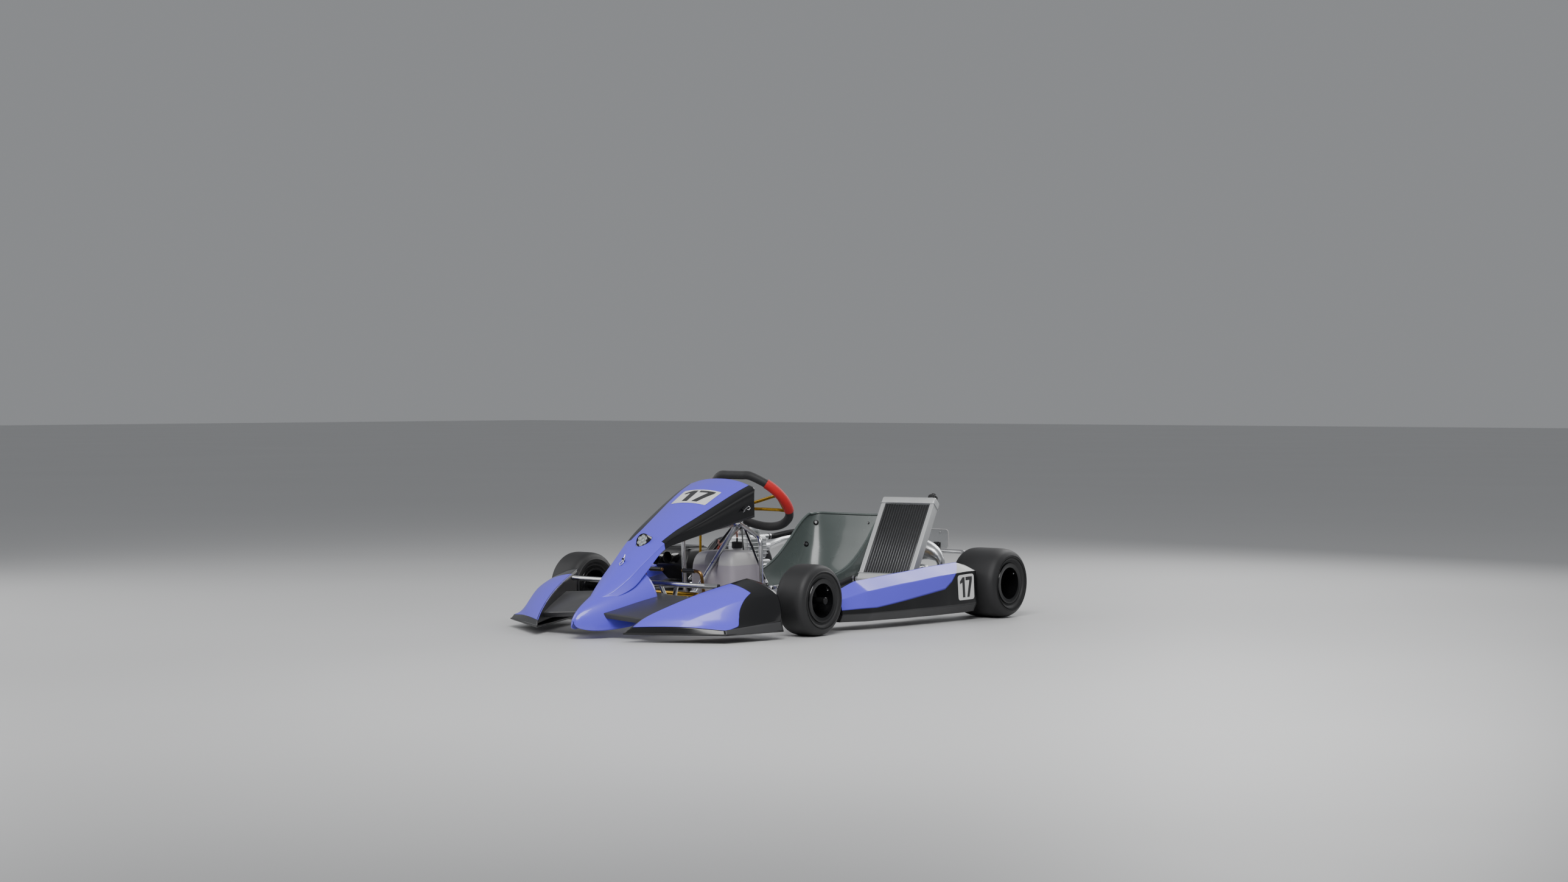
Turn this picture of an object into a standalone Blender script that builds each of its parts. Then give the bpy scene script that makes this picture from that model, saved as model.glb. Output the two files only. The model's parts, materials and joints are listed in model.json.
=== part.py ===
"""A racing kart chassis: tubular frame, bodywork, seat, engine, radiator, steering, brakes and wheels.

Metres, +Z up. The kart's nose points to -Y and its left side is +X. The origin is on the ground, below the
middle of the kart's length.
"""

import math

import bmesh
import bpy
from mathutils import Matrix, Vector

# ---------------------------------------------------------------- driving dimensions
WHEELBASE = 1.030
NOSE_OVERHANG = 0.640        # front axle to the tip of the nose
REAR_OVERHANG = 0.275        # rear axle to the rear number plate
FRONT_HALF_WIDTH = 0.616     # centre plane to the outer face of a front tyre
REAR_HALF_WIDTH = 0.735      # centre plane to the outer face of a rear tyre

FRONT_TYRE_RADIUS = 0.129
FRONT_TYRE_WIDTH = 0.132
REAR_TYRE_RADIUS = 0.135
REAR_TYRE_WIDTH = 0.206
RIM_RADIUS = 0.0655          # bead seat of a 5 inch rim
RIM_LIP = 0.0785
RIM_WALL = 0.0045
HUB_RADIUS = 0.032

TYRE_SIDES = 20              # facets round a tyre; one of them stands flat on the ground
TUBE = 0.015                 # radius of the main frame tubes
FRAME_Z = 0.062              # height of the main tubes' centre lines
RAIL_FRONT_X = 0.195
RAIL_REAR_X = 0.300
BUMPER_TUBE = 0.0095
AXLE_RADIUS = 0.025
BEARING_WIDTH = 0.030
SPINDLE_RADIUS = 0.0125
KINGPIN_X = 0.435            # kingpin centre at the height of the stub axle
KINGPIN_LEAN = math.radians(10)
CASTER = math.radians(8)
COLUMN_RADIUS = 0.010
COLUMN_SLOPE = math.radians(45)
WHEEL_RIM_RADIUS = 0.152     # steering wheel, to the middle of its grip
GRIP_RADIUS = 0.0155
SEAT_WALL = 0.005
PANEL_WALL = 0.003
TRAY_WALL = 0.003
DISC_RADIUS = 0.092
CHAIN_PITCH = 0.007775
AXLE_TEETH = 66
ENGINE_TEETH = 19
CHAIN_X = -0.262
DISC_X = 0.236
PEDAL_X = 0.138
GAP = 0.0004                 # between pieces that rest on each other
HOSE_GAP = 0.0012            # between a hose and the nipple it meets
RUN = 0.0008                 # running clearance around shafts
FIT = 0.00005                # between a faceted shaft and a disc's bore
STUB_LENGTH = 0.190          # kingpin to the end of a stub axle
STAY_TUBE = 0.007            # radius of the seat's stays
DISC_SIDES = 18
TANK_TOP = 0.272
NECK_HEIGHT = 0.006
CAP_HEIGHT = 0.026
SPOUT_HEIGHT = 0.038         # cap's seat to the top of its vent
TYRE_TO_EXHAUST = 0.129      # rear tyre's inner face to the middle of the exhaust's bend

# ---------------------------------------------------------------- places worked out from them
SPROCKET_RADIUS = CHAIN_PITCH / 2 / math.sin(math.pi / AXLE_TEETH)
DRIVE_SPROCKET_RADIUS = CHAIN_PITCH / 2 / math.sin(math.pi / ENGINE_TEETH)
LENGTH = NOSE_OVERHANG + WHEELBASE + REAR_OVERHANG
FRONT_Y = NOSE_OVERHANG - LENGTH / 2
REAR_Y = FRONT_Y + WHEELBASE
WAIST_Y = FRONT_Y + 0.315    # rear end of the narrow front part of the frame
SEAT_Y = REAR_Y - 0.515      # everything on the seat is measured from here
FRONT_AXLE_Z = FRONT_TYRE_RADIUS * math.cos(math.pi / TYRE_SIDES)
REAR_AXLE_Z = REAR_TYRE_RADIUS * math.cos(math.pi / TYRE_SIDES)


def front(x, dy, z):
    """A point whose dy is measured back from the front axle."""
    return Vector((x, FRONT_Y + dy, z))


def rear(x, dy, z):
    """A point whose dy is measured back from the rear axle."""
    return Vector((x, REAR_Y + dy, z))


NECK_Y = FRONT_Y + 0.262      # fuel tank's filler
COLUMN_POINT = front(0, 0.228, 0.334)
COLUMN_AXIS = Vector((0, math.cos(COLUMN_SLOPE), math.sin(COLUMN_SLOPE)))
COLUMN_UP = Vector((0, -math.sin(COLUMN_SLOPE), math.cos(COLUMN_SLOPE)))

# ---------------------------------------------------------------- scene, materials, helpers
for old in list(bpy.data.objects):
    bpy.data.objects.remove(old)

PARTS = bpy.data.collections.new("kart_chassis")
bpy.context.scene.collection.children.link(PARTS)
CUTTERS = bpy.data.collections.new("cutters")
bpy.context.scene.collection.children.link(CUTTERS)


def material(name, colour, roughness, metallic=0.0):
    made = bpy.data.materials.new(name)
    made.use_nodes = True
    shader = made.node_tree.nodes["Principled BSDF"]
    shader.inputs["Base Color"].default_value = (*colour, 1)
    shader.inputs["Roughness"].default_value = roughness
    shader.inputs["Metallic"].default_value = metallic
    return made


BLUE = material("blue_paint", (0.11, 0.09, 0.72), 0.25)
BLACK = material("black_plastic", (0.012, 0.012, 0.013), 0.35)
CHROME = material("chromed_steel", (0.62, 0.62, 0.63), 0.18, 1.0)
RAW = material("cast_aluminium", (0.55, 0.56, 0.57), 0.38, 1.0)
GOLD = material("gold_anodised", (0.55, 0.33, 0.04), 0.30, 1.0)
TYRE = material("tyre_rubber", (0.018, 0.018, 0.018), 0.65)
RIM = material("black_magnesium", (0.010, 0.010, 0.011), 0.30, 0.6)
GLASSFIBRE = material("grey_glassfibre", (0.085, 0.105, 0.100), 0.28)
TANK = material("tank_plastic", (0.42, 0.41, 0.41), 0.45)
HOSE = material("black_hose", (0.015, 0.015, 0.015), 0.5)
COPPER = material("fuel_hose", (0.45, 0.19, 0.14), 0.35)
SUEDE = material("black_suede", (0.02, 0.02, 0.02), 0.8)
STEEL = material("brake_steel", (0.40, 0.40, 0.41), 0.30, 1.0)


def placed(name, mesh, finish):
    obj = bpy.data.objects.new(name, mesh)
    PARTS.objects.link(obj)
    obj.data.materials.append(finish)
    return obj


def from_bmesh(name, bm, finish):
    mesh = bpy.data.meshes.new(name)
    bmesh.ops.recalc_face_normals(bm, faces=bm.faces)
    bm.to_mesh(mesh)
    bm.free()
    return placed(name, mesh, finish)


def turn_to(axis):
    """The rotation that carries +Z to axis."""
    return Vector((0, 0, 1)).rotation_difference(Vector(axis)).to_matrix().to_4x4()


def baked(obj):
    """obj as a plain mesh in world space, its modifiers applied and a curve's caps welded."""
    graph = bpy.context.evaluated_depsgraph_get()
    mesh = bpy.data.meshes.new_from_object(obj.evaluated_get(graph))
    mesh.transform(obj.matrix_world)
    bm = bmesh.new()
    bm.from_mesh(mesh)
    bmesh.ops.remove_doubles(bm, verts=bm.verts, dist=1e-5)
    bmesh.ops.recalc_face_normals(bm, faces=bm.faces)
    bm.to_mesh(mesh)
    bm.free()
    name = obj.name
    bpy.data.objects.remove(obj)
    made = bpy.data.objects.new(name, mesh)
    PARTS.objects.link(made)
    return made


def combine(target, others, operation):
    """target joined with or cut by each of others, which are used up."""
    for other in others:
        modifier = target.modifiers.new("combine", "BOOLEAN")
        modifier.operation = operation
        modifier.solver = "EXACT"
        modifier.object = other
        bpy.context.view_layer.update()
        target = baked(target)
        bpy.data.objects.remove(other)
    return target


def union(name, finish, pieces):
    pieces = [baked(p) for p in pieces]
    made = combine(pieces[0], pieces[1:], "UNION")
    made.name = name
    made.data.materials.clear()
    made.data.materials.append(finish)
    return made


def cut(obj, cutters):
    """obj with a live Boolean for each cutter, which stays as a hidden wire object."""
    for cutter in cutters:
        PARTS.objects.unlink(cutter)
        CUTTERS.objects.link(cutter)
        cutter.hide_render = True
        cutter.display_type = "WIRE"
        modifier = obj.modifiers.new("cut", "BOOLEAN")
        modifier.operation = "DIFFERENCE"
        modifier.solver = "EXACT"
        modifier.object = cutter
    bpy.context.view_layer.update()
    return obj


def pivoted(obj, point):
    """obj with its origin moved to point, a place on its joint's axis. Its shape stays where it is."""
    offset = obj.matrix_world.inverted() @ Vector(point)
    obj.data.transform(Matrix.Translation(-offset))
    obj.matrix_world = obj.matrix_world @ Matrix.Translation(offset)
    bpy.context.view_layer.update()
    return obj


def box(name, size, centre, finish, turn=None, bevel=0.0):
    bm = bmesh.new()
    bmesh.ops.create_cube(bm, size=1)
    bmesh.ops.scale(bm, vec=size, verts=bm.verts)
    obj = from_bmesh(name, bm, finish)
    obj.matrix_world = Matrix.Translation(centre) @ (turn or Matrix.Identity(4))
    if bevel:
        modifier = obj.modifiers.new("edges", "BEVEL")
        modifier.width = bevel
        modifier.segments = 2
    bpy.context.view_layer.update()
    return obj


def cylinder(name, radius, start, end, finish, sides=24, end_radius=None):
    start, end = Vector(start), Vector(end)
    bm = bmesh.new()
    bmesh.ops.create_cone(bm, cap_ends=True, segments=sides, radius1=radius,
                          radius2=radius if end_radius is None else end_radius, depth=(end - start).length)
    obj = from_bmesh(name, bm, finish)
    obj.matrix_world = Matrix.Translation((start + end) / 2) @ turn_to(end - start)
    bpy.context.view_layer.update()
    return obj


def hull(name, points, finish, bevel=0.0):
    bm = bmesh.new()
    for p in points:
        bm.verts.new(p)
    made = bmesh.ops.convex_hull(bm, input=bm.verts)
    bmesh.ops.delete(bm, geom=[v for v in made["geom_interior"] if isinstance(v, bmesh.types.BMVert)],
                     context="VERTS")
    bmesh.ops.dissolve_limit(bm, angle_limit=math.radians(1), verts=bm.verts, edges=bm.edges)
    obj = from_bmesh(name, bm, finish)
    if bevel:
        modifier = obj.modifiers.new("edges", "BEVEL")
        modifier.width = bevel
        modifier.segments = 2
    return obj


def loft(name, sections, finish, closed=True, thickness=0.0, caps=True):
    """Faces between neighbouring sections, each a list of as many points. An open loft is thickened."""
    bm = bmesh.new()
    rings = [[bm.verts.new(p) for p in section] for section in sections]
    for a, b in zip(rings, rings[1:]):
        count = len(a)
        for i in range(count if closed else count - 1):
            j = (i + 1) % count
            bm.faces.new((a[i], a[j], b[j], b[i]))
    if caps:
        bm.faces.new(rings[0])
        bm.faces.new(list(reversed(rings[-1])))
    obj = from_bmesh(name, bm, finish)
    if thickness:
        modifier = obj.modifiers.new("wall", "SOLIDIFY")
        modifier.thickness = thickness
        modifier.offset = -1
        modifier.use_even_offset = True
    return obj


def turned(name, profile, centre, axis, finish, steps=24):
    """A ring, a flat facet of it pointing down: profile holds (radius, place along axis), and is closed."""
    area = sum(a[0] * b[1] - b[0] * a[1] for a, b in zip(profile, profile[1:] + profile[:1]))
    profile = profile if area < 0 else profile[::-1]
    bm = bmesh.new()
    verts = [bm.verts.new((r, 0, t)) for r, t in profile]
    for a, b in zip(verts, verts[1:] + verts[:1]):
        bm.edges.new((a, b))
    mesh = bpy.data.meshes.new(name)
    bm.to_mesh(mesh)
    bm.free()
    obj = placed(name, mesh, finish)
    screw = obj.modifiers.new("turn", "SCREW")
    screw.steps = screw.render_steps = steps
    screw.use_merge_vertices = True
    screw.merge_threshold = 0.0001
    screw.use_smooth_shade = True
    obj.matrix_world = Matrix.Translation(centre) @ turn_to(axis) @ Matrix.Rotation(math.pi / steps, 4, "Z")
    bpy.context.view_layer.update()
    return obj


def bent(points, radius, steps=4):
    """The points with each inner corner rounded to that bend radius."""
    points = [Vector(p) for p in points]
    out = [points[0]]
    for before, corner, after in zip(points, points[1:], points[2:]):
        into, away = (before - corner), (after - corner)
        half = into.angle(away) / 2
        back = min(radius / math.tan(half), 0.45 * into.length, 0.45 * away.length)
        a, b = corner + into.normalized() * back, corner + away.normalized() * back
        for i in range(steps + 1):
            t = i / steps
            out.append(a * (1 - t) ** 2 + corner * 2 * t * (1 - t) + b * t * t)
    return [*out, points[-1]]


def smooth(points, per_span=4):
    """A Catmull-Rom curve through the points."""
    points = [Vector(p) for p in points]
    ends = [2 * points[0] - points[1], *points, 2 * points[-1] - points[-2]]
    out = []
    for a, b, c, d in zip(ends, ends[1:], ends[2:], ends[3:]):
        for i in range(per_span):
            t = i / per_span
            out.append(0.5 * (2 * b + (c - a) * t + (2 * a - 5 * b + 4 * c - d) * t ** 2
                              + (3 * b - a - 3 * c + d) * t ** 3))
    return [*out, points[-1]]


def tube(name, points, radius, finish, resolution=2, radii=None, closed=False):
    curve = bpy.data.curves.new(name, "CURVE")
    curve.dimensions = "3D"
    curve.bevel_depth = radius
    curve.bevel_resolution = resolution
    curve.use_fill_caps = not closed
    spline = curve.splines.new("POLY")
    spline.points.add(len(points) - 1)
    for i, (target, place) in enumerate(zip(spline.points, points)):
        target.co = (*place, 1)
        target.radius = radii[i] if radii else 1.0
    spline.use_cyclic_u = closed
    curve.materials.append(finish)
    obj = bpy.data.objects.new(name, curve)
    PARTS.objects.link(obj)
    bpy.context.view_layer.update()
    return obj


def route(points, per_span=2):
    """A smooth curve whose first and last stretches stay straight, square on their nipples."""
    return [Vector(points[0]), *smooth(points[1:-1], per_span), Vector(points[-1])]


def mirror_points(points):
    return [Vector((-p[0], p[1], p[2])) for p in points]


def sided(points, side):
    return [Vector((side * p[0], p[1], p[2])) for p in points]


SIDES = (("left", 1), ("right", -1))


# ---------------------------------------------------------------- frame
YOKE_HALF_HEIGHT = 0.046
YOKE_PLATE = 0.008
YOKE_SPINE = 0.049           # kingpin to the middle of the yoke's upright
RAIL_TIP = (0.150, FRONT_Y - 0.225)
CARRIER_RADIUS = 0.050
HANGER_PLATE = 0.007
CROSS_FRONT_Y = FRONT_Y - 0.020
CROSS_REAR_Y = REAR_Y + DISC_RADIUS - 0.005
FRAME_REAR_Y = CROSS_REAR_Y + TUBE + 0.003


def kingpin_axis(side):
    """Up the kingpin: it leans in at the top, and back."""
    return Vector((-side * math.tan(KINGPIN_LEAN), math.tan(CASTER), 1)).normalized()


def kingpin_point(side, along=0.0):
    return Vector((side * KINGPIN_X, FRONT_Y, FRONT_AXLE_Z)) + kingpin_axis(side) * along


def yoke(side):
    """The C-shaped bracket whose two eyes hold the kingpin."""
    lean = turn_to(kingpin_axis(side))
    pieces = []
    for sign in (-1, 1):
        middle = kingpin_point(side, sign * YOKE_HALF_HEIGHT)
        half = kingpin_axis(side) * YOKE_PLATE / 2
        pieces.append(cylinder("eye", 0.017, middle - half, middle + half, CHROME, 12))
        back = middle + lean.to_3x3() @ Vector((-side * YOKE_SPINE * 0.55, 0, 0))
        pieces.append(box("arm", (YOKE_SPINE, 0.030, YOKE_PLATE * 0.9), back, CHROME, lean))
    spine = kingpin_point(side) + lean.to_3x3() @ Vector((-side * YOKE_SPINE, 0, 0))
    height = 2 * YOKE_HALF_HEIGHT + YOKE_PLATE * 0.85
    pieces.append(box("spine", (0.014, 0.034, height), spine, CHROME, lean))
    return pieces


def hanger(side):
    """The plate on the rail that holds a rear bearing carrier, open at the top."""
    x = side * RAIL_REAR_X
    low, high = FRAME_Z + 0.004, REAR_AXLE_Z + 0.014
    return hull("hanger", [(x + sx * HANGER_PLATE / 2, REAR_Y + sy * y, z) for sx in (1, -1) for sy in (1, -1)
                           for y, z in ((0.064, low), (0.060, high))], CHROME)


def frame():
    tip_x, tip_y = RAIL_TIP
    pieces = []
    for _, side in SIDES:
        rail = [(tip_x, tip_y, FRAME_Z), (tip_x, tip_y + 0.035, FRAME_Z),
                (RAIL_FRONT_X, CROSS_FRONT_Y, FRAME_Z),
                (RAIL_FRONT_X - 0.012, WAIST_Y - 0.03, FRAME_Z), (RAIL_REAR_X, SEAT_Y + 0.05, FRAME_Z),
                (RAIL_REAR_X, FRAME_REAR_Y, FRAME_Z)]
        pieces.append(tube("rail", sided(bent(rail, 0.10, 2), side), TUBE, CHROME, 2))
    outer = KINGPIN_X - YOKE_SPINE - 0.003
    for y, half in ((CROSS_FRONT_Y, outer), (WAIST_Y, RAIL_FRONT_X - 0.005), (CROSS_REAR_Y, RAIL_REAR_X)):
        z = FRAME_Z + 0.001
        pieces.append(tube("cross", [(-half, y, z), (half, y, z)], TUBE - 0.001, CHROME, 2))
    bores = []
    for _, side in SIDES:
        pieces += yoke(side)
        pieces.append(tube("yoke_strut", [(side * outer, CROSS_FRONT_Y, FRAME_Z + 0.001),
                                          kingpin_point(side) - Vector((side * YOKE_SPINE, 0, 0))], 0.010,
                           CHROME, 2))
        pieces.append(hanger(side))
        ends = [rear(side * x, 0, REAR_AXLE_Z) for x in (RAIL_REAR_X - 0.05, RAIL_REAR_X + 0.05)]
        bores.append(cylinder("hanger_bore", CARRIER_RADIUS, *ends, CHROME, 20))
    return cut(union("frame", CHROME, pieces), bores)


def floor_tray():
    top = FRAME_Z - TUBE - GAP
    outline = [(0.135, RAIL_TIP[1] + 0.02), (RAIL_FRONT_X + 0.01, CROSS_FRONT_Y),
               (RAIL_FRONT_X - 0.002, WAIST_Y - 0.03),
               (RAIL_FRONT_X, WAIST_Y + 0.025)]
    ring = outline + [(-x, y) for x, y in reversed(outline)]
    return loft("floor_tray", [[(x, y, top) for x, y in ring], [(x, y, top - TRAY_WALL) for x, y in ring]],
                RAW)


def front_bumper():
    bar_y, bar_z, half = FRONT_Y - 0.275, 0.180, 0.352
    low_y, low_z = FRONT_Y - 0.255, 0.088
    r = BUMPER_TUBE
    pieces = [tube("bar", bent([(-half, bar_y + 0.012, bar_z), (-half + 0.05, bar_y, bar_z),
                                (half - 0.05, bar_y, bar_z),
                                (half, bar_y + 0.012, bar_z)], 0.05, 2), r, CHROME, 2),
              tube("low", [(-0.16, low_y, low_z), (0.16, low_y, low_z)], r, CHROME, 2)]
    for _, side in SIDES:
        for foot, head in ((0.118, 0.085), (0.126, 0.165)):
            pieces.append(tube("stay", sided([(head, bar_y, bar_z), (foot, low_y, low_z)], side), r * 0.85,
                               CHROME, 2))
        tip_x, tip_y = RAIL_TIP
        pieces.append(tube("spigot", sided([(0.122, low_y, low_z), (tip_x, tip_y - 0.024, FRAME_Z),
                                            (tip_x, tip_y - GAP, FRAME_Z)], side), r * 0.95, CHROME, 2))
    return union("front_bumper", CHROME, pieces)


def front_torsion_bar():
    y, z = FRONT_Y - 0.150, 0.135
    ends = [(0.162, y, FRAME_Z + TUBE + GAP), (0.162, y, z)]
    path = bent([*mirror_points(ends), *reversed(ends)], 0.02, 3)
    return tube("front_torsion_bar", path, 0.0085, GOLD, 2)


def rear_bumper():
    y, z = REAR_Y + 0.245, 0.226
    low = FRAME_REAR_Y + GAP
    path = bent([(RAIL_REAR_X, low, FRAME_Z), (RAIL_REAR_X, y - 0.02, FRAME_Z + 0.004), (0.36, y, 0.13),
                 (0.37, y, z), (-0.37, y, z), (-0.36, y, 0.13), (-RAIL_REAR_X, y - 0.02, FRAME_Z + 0.004),
                 (-RAIL_REAR_X, low, FRAME_Z)], 0.05, 3)
    return tube("rear_bumper", path, BUMPER_TUBE, CHROME, 2)


def side_bar(label, side):
    """The loop that carries a side pod. Its ends meet the rail."""
    x, z = 0.530, 0.084
    front_end, rear_end = FRONT_Y + 0.245, REAR_Y - 0.205
    path = bent([(RAIL_FRONT_X + TUBE, front_end, z), (x - 0.03, front_end, z),
                 (x, front_end + 0.05, z + 0.012),
                 (x, rear_end - 0.05, z + 0.012), (x - 0.03, rear_end, z),
                 (RAIL_REAR_X + TUBE + 2 * GAP, rear_end, FRAME_Z + 0.004)], 0.04, 3)
    return tube(f"side_bar_{label}", sided(path, side), BUMPER_TUBE, CHROME, 2)


# ---------------------------------------------------------------- bodywork
FIN = {  # the raised outer end of the front fairing, left side: x, dy from the front axle, z
    "tip_inner": (0.222, -0.590, 0.044),
    "tip_outer": (0.508, -0.415, 0.046),
    "rear_outer": (0.566, -0.178, 0.060),
    "rear_inner": (0.410, -0.178, 0.060),
    "kink": (0.262, -0.545, 0.114),
    "crest": (0.500, -0.285, 0.144),
    "top_outer": (0.548, -0.178, 0.160),
    "top_inner": (0.408, -0.178, 0.209),
    "mid_inner": (0.345, -0.330, 0.166),
    "low_front": (0.392, -0.492, 0.100),
}
LIP_Z = 0.028
LIP = ((0.206, -0.608), (0.520, -0.425), (0.578, -0.178), (0.400, -0.178))
WING = ((0.040, -0.545, 0.090), (0.285, -0.520, 0.070), (0.395, -0.285, 0.128), (0.070, -0.300, 0.150))
WING_DEEP = 0.020
NOSE = ((0.0, -0.640, 0.074), (0.030, -0.632, 0.054), (0.026, -0.632, 0.094), (0.0, -0.597, 0.107),
        (0.062, -0.525, 0.086), (0.055, -0.525, 0.040), (0.105, -0.365, 0.146), (0.095, -0.365, 0.060),
        (0.0, -0.365, 0.162), (0.085, -0.330, 0.146), (0.080, -0.330, 0.095), (0.0, -0.330, 0.160))
FAIRING_WALL = 0.93


def front_fairing():
    nose = [front(s * x, dy, z) for x, dy, z in NOSE for s in (1, -1)]
    pieces = [hull("nose", nose, BLUE)]
    for _, side in SIDES:
        fin = [front(side * x, dy, z) for x, dy, z in FIN.values()]
        pieces.append(hull("fin", fin, BLUE))
        lip = [front(side * x, dy, z) for x, dy in LIP for z in (LIP_Z, 0.062 if dy > -0.4 else 0.045)]
        pieces.append(hull("lip", lip, BLACK))
        wing = [front(side * x, dy, z + dz) for x, dy, z in WING for dz in (0, -WING_DEEP)]
        pieces.append(hull("wing", wing, BLACK))
    made = union("front_fairing", BLUE, pieces)
    hollows = []
    for _, side in SIDES:
        fin = [front(side * x, dy, z) for x, dy, z in FIN.values()]
        lip = [front(side * x, dy, LIP_Z) for x, dy in LIP]
        middle = sum(fin + lip, Vector()) / len(fin + lip)
        inside = [middle + (p - middle) * FAIRING_WALL - Vector((0, 0, 0.004)) for p in fin]
        inside += [middle + (p - middle) * FAIRING_WALL + Vector((0, 0, -0.03)) for p in lip]
        hollows.append(hull("hollow", inside, BLACK))
    return cut(made, hollows)


PANEL = (  # dy from the front axle, crown z, ridge x, ridge z, lower edge x, lower edge z
    (-0.540, 0.138, 0.016, 0.134, 0.020, 0.129),
    (-0.485, 0.178, 0.045, 0.160, 0.055, 0.140),
    (-0.415, 0.229, 0.064, 0.208, 0.082, 0.172),
    (-0.351, 0.276, 0.072, 0.256, 0.086, 0.222),
    (-0.265, 0.330, 0.087, 0.318, 0.094, 0.298),
    (-0.185, 0.372, 0.108, 0.360, 0.113, 0.326),
    (-0.085, 0.425, 0.131, 0.405, 0.134, 0.351),
    (0.015, 0.479, 0.148, 0.452, 0.151, 0.374),
    (0.095, 0.519, 0.159, 0.488, 0.162, 0.391),
    (0.160, 0.544, 0.166, 0.513, 0.169, 0.404),
)
LAMP_DY, LAMP_Z, LAMP_RADIUS, LAMP_DEEP = -0.232, 0.328, 0.0265, 0.046


def front_panel():
    sections = []
    for dy, crown, rx, rz, bx, bz in PANEL:
        half = [(0, crown), (rx * 0.5, crown - (crown - rz) * 0.22), (rx * 0.85, crown - (crown - rz) * 0.62),
                (rx, rz), ((rx + bx) / 2, (rz + bz) / 2), (bx, bz)]
        right = [(-x, z) for x, z in reversed(half[1:])]
        sections.append([front(x, dy, z) for x, z in right + half])
    panel = loft("front_panel", sections, BLUE, closed=False, thickness=PANEL_WALL, caps=False)
    scoop = cylinder("scoop", LAMP_RADIUS + 0.0015, front(0, LAMP_DY - 0.11, LAMP_Z - 0.002),
                     front(0, LAMP_DY + 0.07, LAMP_Z), BLACK, 24)
    return cut(panel, [scoop])


def headlight():
    face, back = front(0, LAMP_DY, LAMP_Z), front(0, LAMP_DY + LAMP_DEEP, LAMP_Z)
    return cylinder("headlight", LAMP_RADIUS, face, back, BLACK, 24)


POD = (  # place along the pod from 0 to 1, then x and z of its ridge, crease, lower edge and underside
    (0.00, 0.505, 0.134, 0.553, 0.116, 0.562, 0.060, 0.548, 0.033),
    (0.16, 0.534, 0.176, 0.594, 0.142, 0.607, 0.060, 0.592, 0.032),
    (0.48, 0.565, 0.196, 0.628, 0.164, 0.639, 0.060, 0.624, 0.031),
    (0.76, 0.588, 0.212, 0.653, 0.181, 0.661, 0.060, 0.646, 0.031),
    (0.94, 0.602, 0.219, 0.665, 0.188, 0.672, 0.061, 0.657, 0.032),
    (1.00, 0.621, 0.209, 0.671, 0.188, 0.676, 0.063, 0.661, 0.034),
)
POD_FRONT_Y = FRONT_Y + FRONT_TYRE_RADIUS + 0.053
POD_REAR_Y = REAR_Y - REAR_TYRE_RADIUS - 0.017
POD_INNER = 0.150
POD_WALL = 0.004


def side_pod(label, side):
    sections = []
    for t, rx, rz, cx, cz, lx, lz, ux, uz in POD:
        y = POD_FRONT_Y + (POD_REAR_Y - POD_FRONT_Y) * t
        half = [(rx - 0.012, rz - 0.045), (rx - 0.010, rz - 0.006), (rx, rz), (cx, cz), (lx, lz), (ux, uz),
                (ux - POD_INNER, uz + 0.004)]
        sections.append([Vector((side * x, y, z)) for x, z in half])
    return loft(f"side_pod_{label}", sections, BLUE, closed=False, thickness=POD_WALL, caps=True)


# ---------------------------------------------------------------- seat
SEAT = (  # centre y and z, edge y and z, half width: y from SEAT_Y
    (0.040, 0.086, 0.045, 0.152, 0.174),
    (0.140, 0.060, 0.115, 0.168, 0.184),
    (0.250, 0.054, 0.175, 0.188, 0.189),
    (0.340, 0.078, 0.240, 0.226, 0.190),
    (0.405, 0.140, 0.310, 0.284, 0.189),
    (0.444, 0.220, 0.362, 0.336, 0.186),
    (0.466, 0.305, 0.406, 0.370, 0.181),
    (0.478, 0.380, 0.436, 0.388, 0.170),
)
SEAT_ACROSS = 7


def seat():
    sections = []
    for cy, cz, ey, ez, half in SEAT:
        row = []
        for i in range(-SEAT_ACROSS, SEAT_ACROSS + 1):
            a = math.pi / 2 * i / SEAT_ACROSS
            x = half * math.copysign(abs(math.sin(a)) ** 0.75, a)
            rise = 1 - math.cos(a) ** 0.75 if abs(i) < SEAT_ACROSS else 1.0
            row.append(Vector((x, SEAT_Y + cy + (ey - cy) * rise, cz + (ez - cz) * rise)))
        sections.append(row)
    return loft("seat", sections, GLASSFIBRE, closed=False, thickness=SEAT_WALL, caps=False)


def seat_stay(label, side):
    foot_x = RAIL_REAR_X - TUBE - STAY_TUBE
    path = bent([(foot_x, SEAT_Y + 0.405, FRAME_Z + 0.002), (foot_x, SEAT_Y + 0.405, 0.10),
                 (0.216, SEAT_Y + 0.375, 0.27), (0.203, SEAT_Y + 0.372, 0.31)], 0.03, 3)
    return tube(f"seat_stay_{label}", sided(path, side), STAY_TUBE, CHROME, 2)


# ---------------------------------------------------------------- fuel tank
TANK_HALF = 0.106
TANK_GROOVE = (0.040, 0.40, 0.12)


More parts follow.
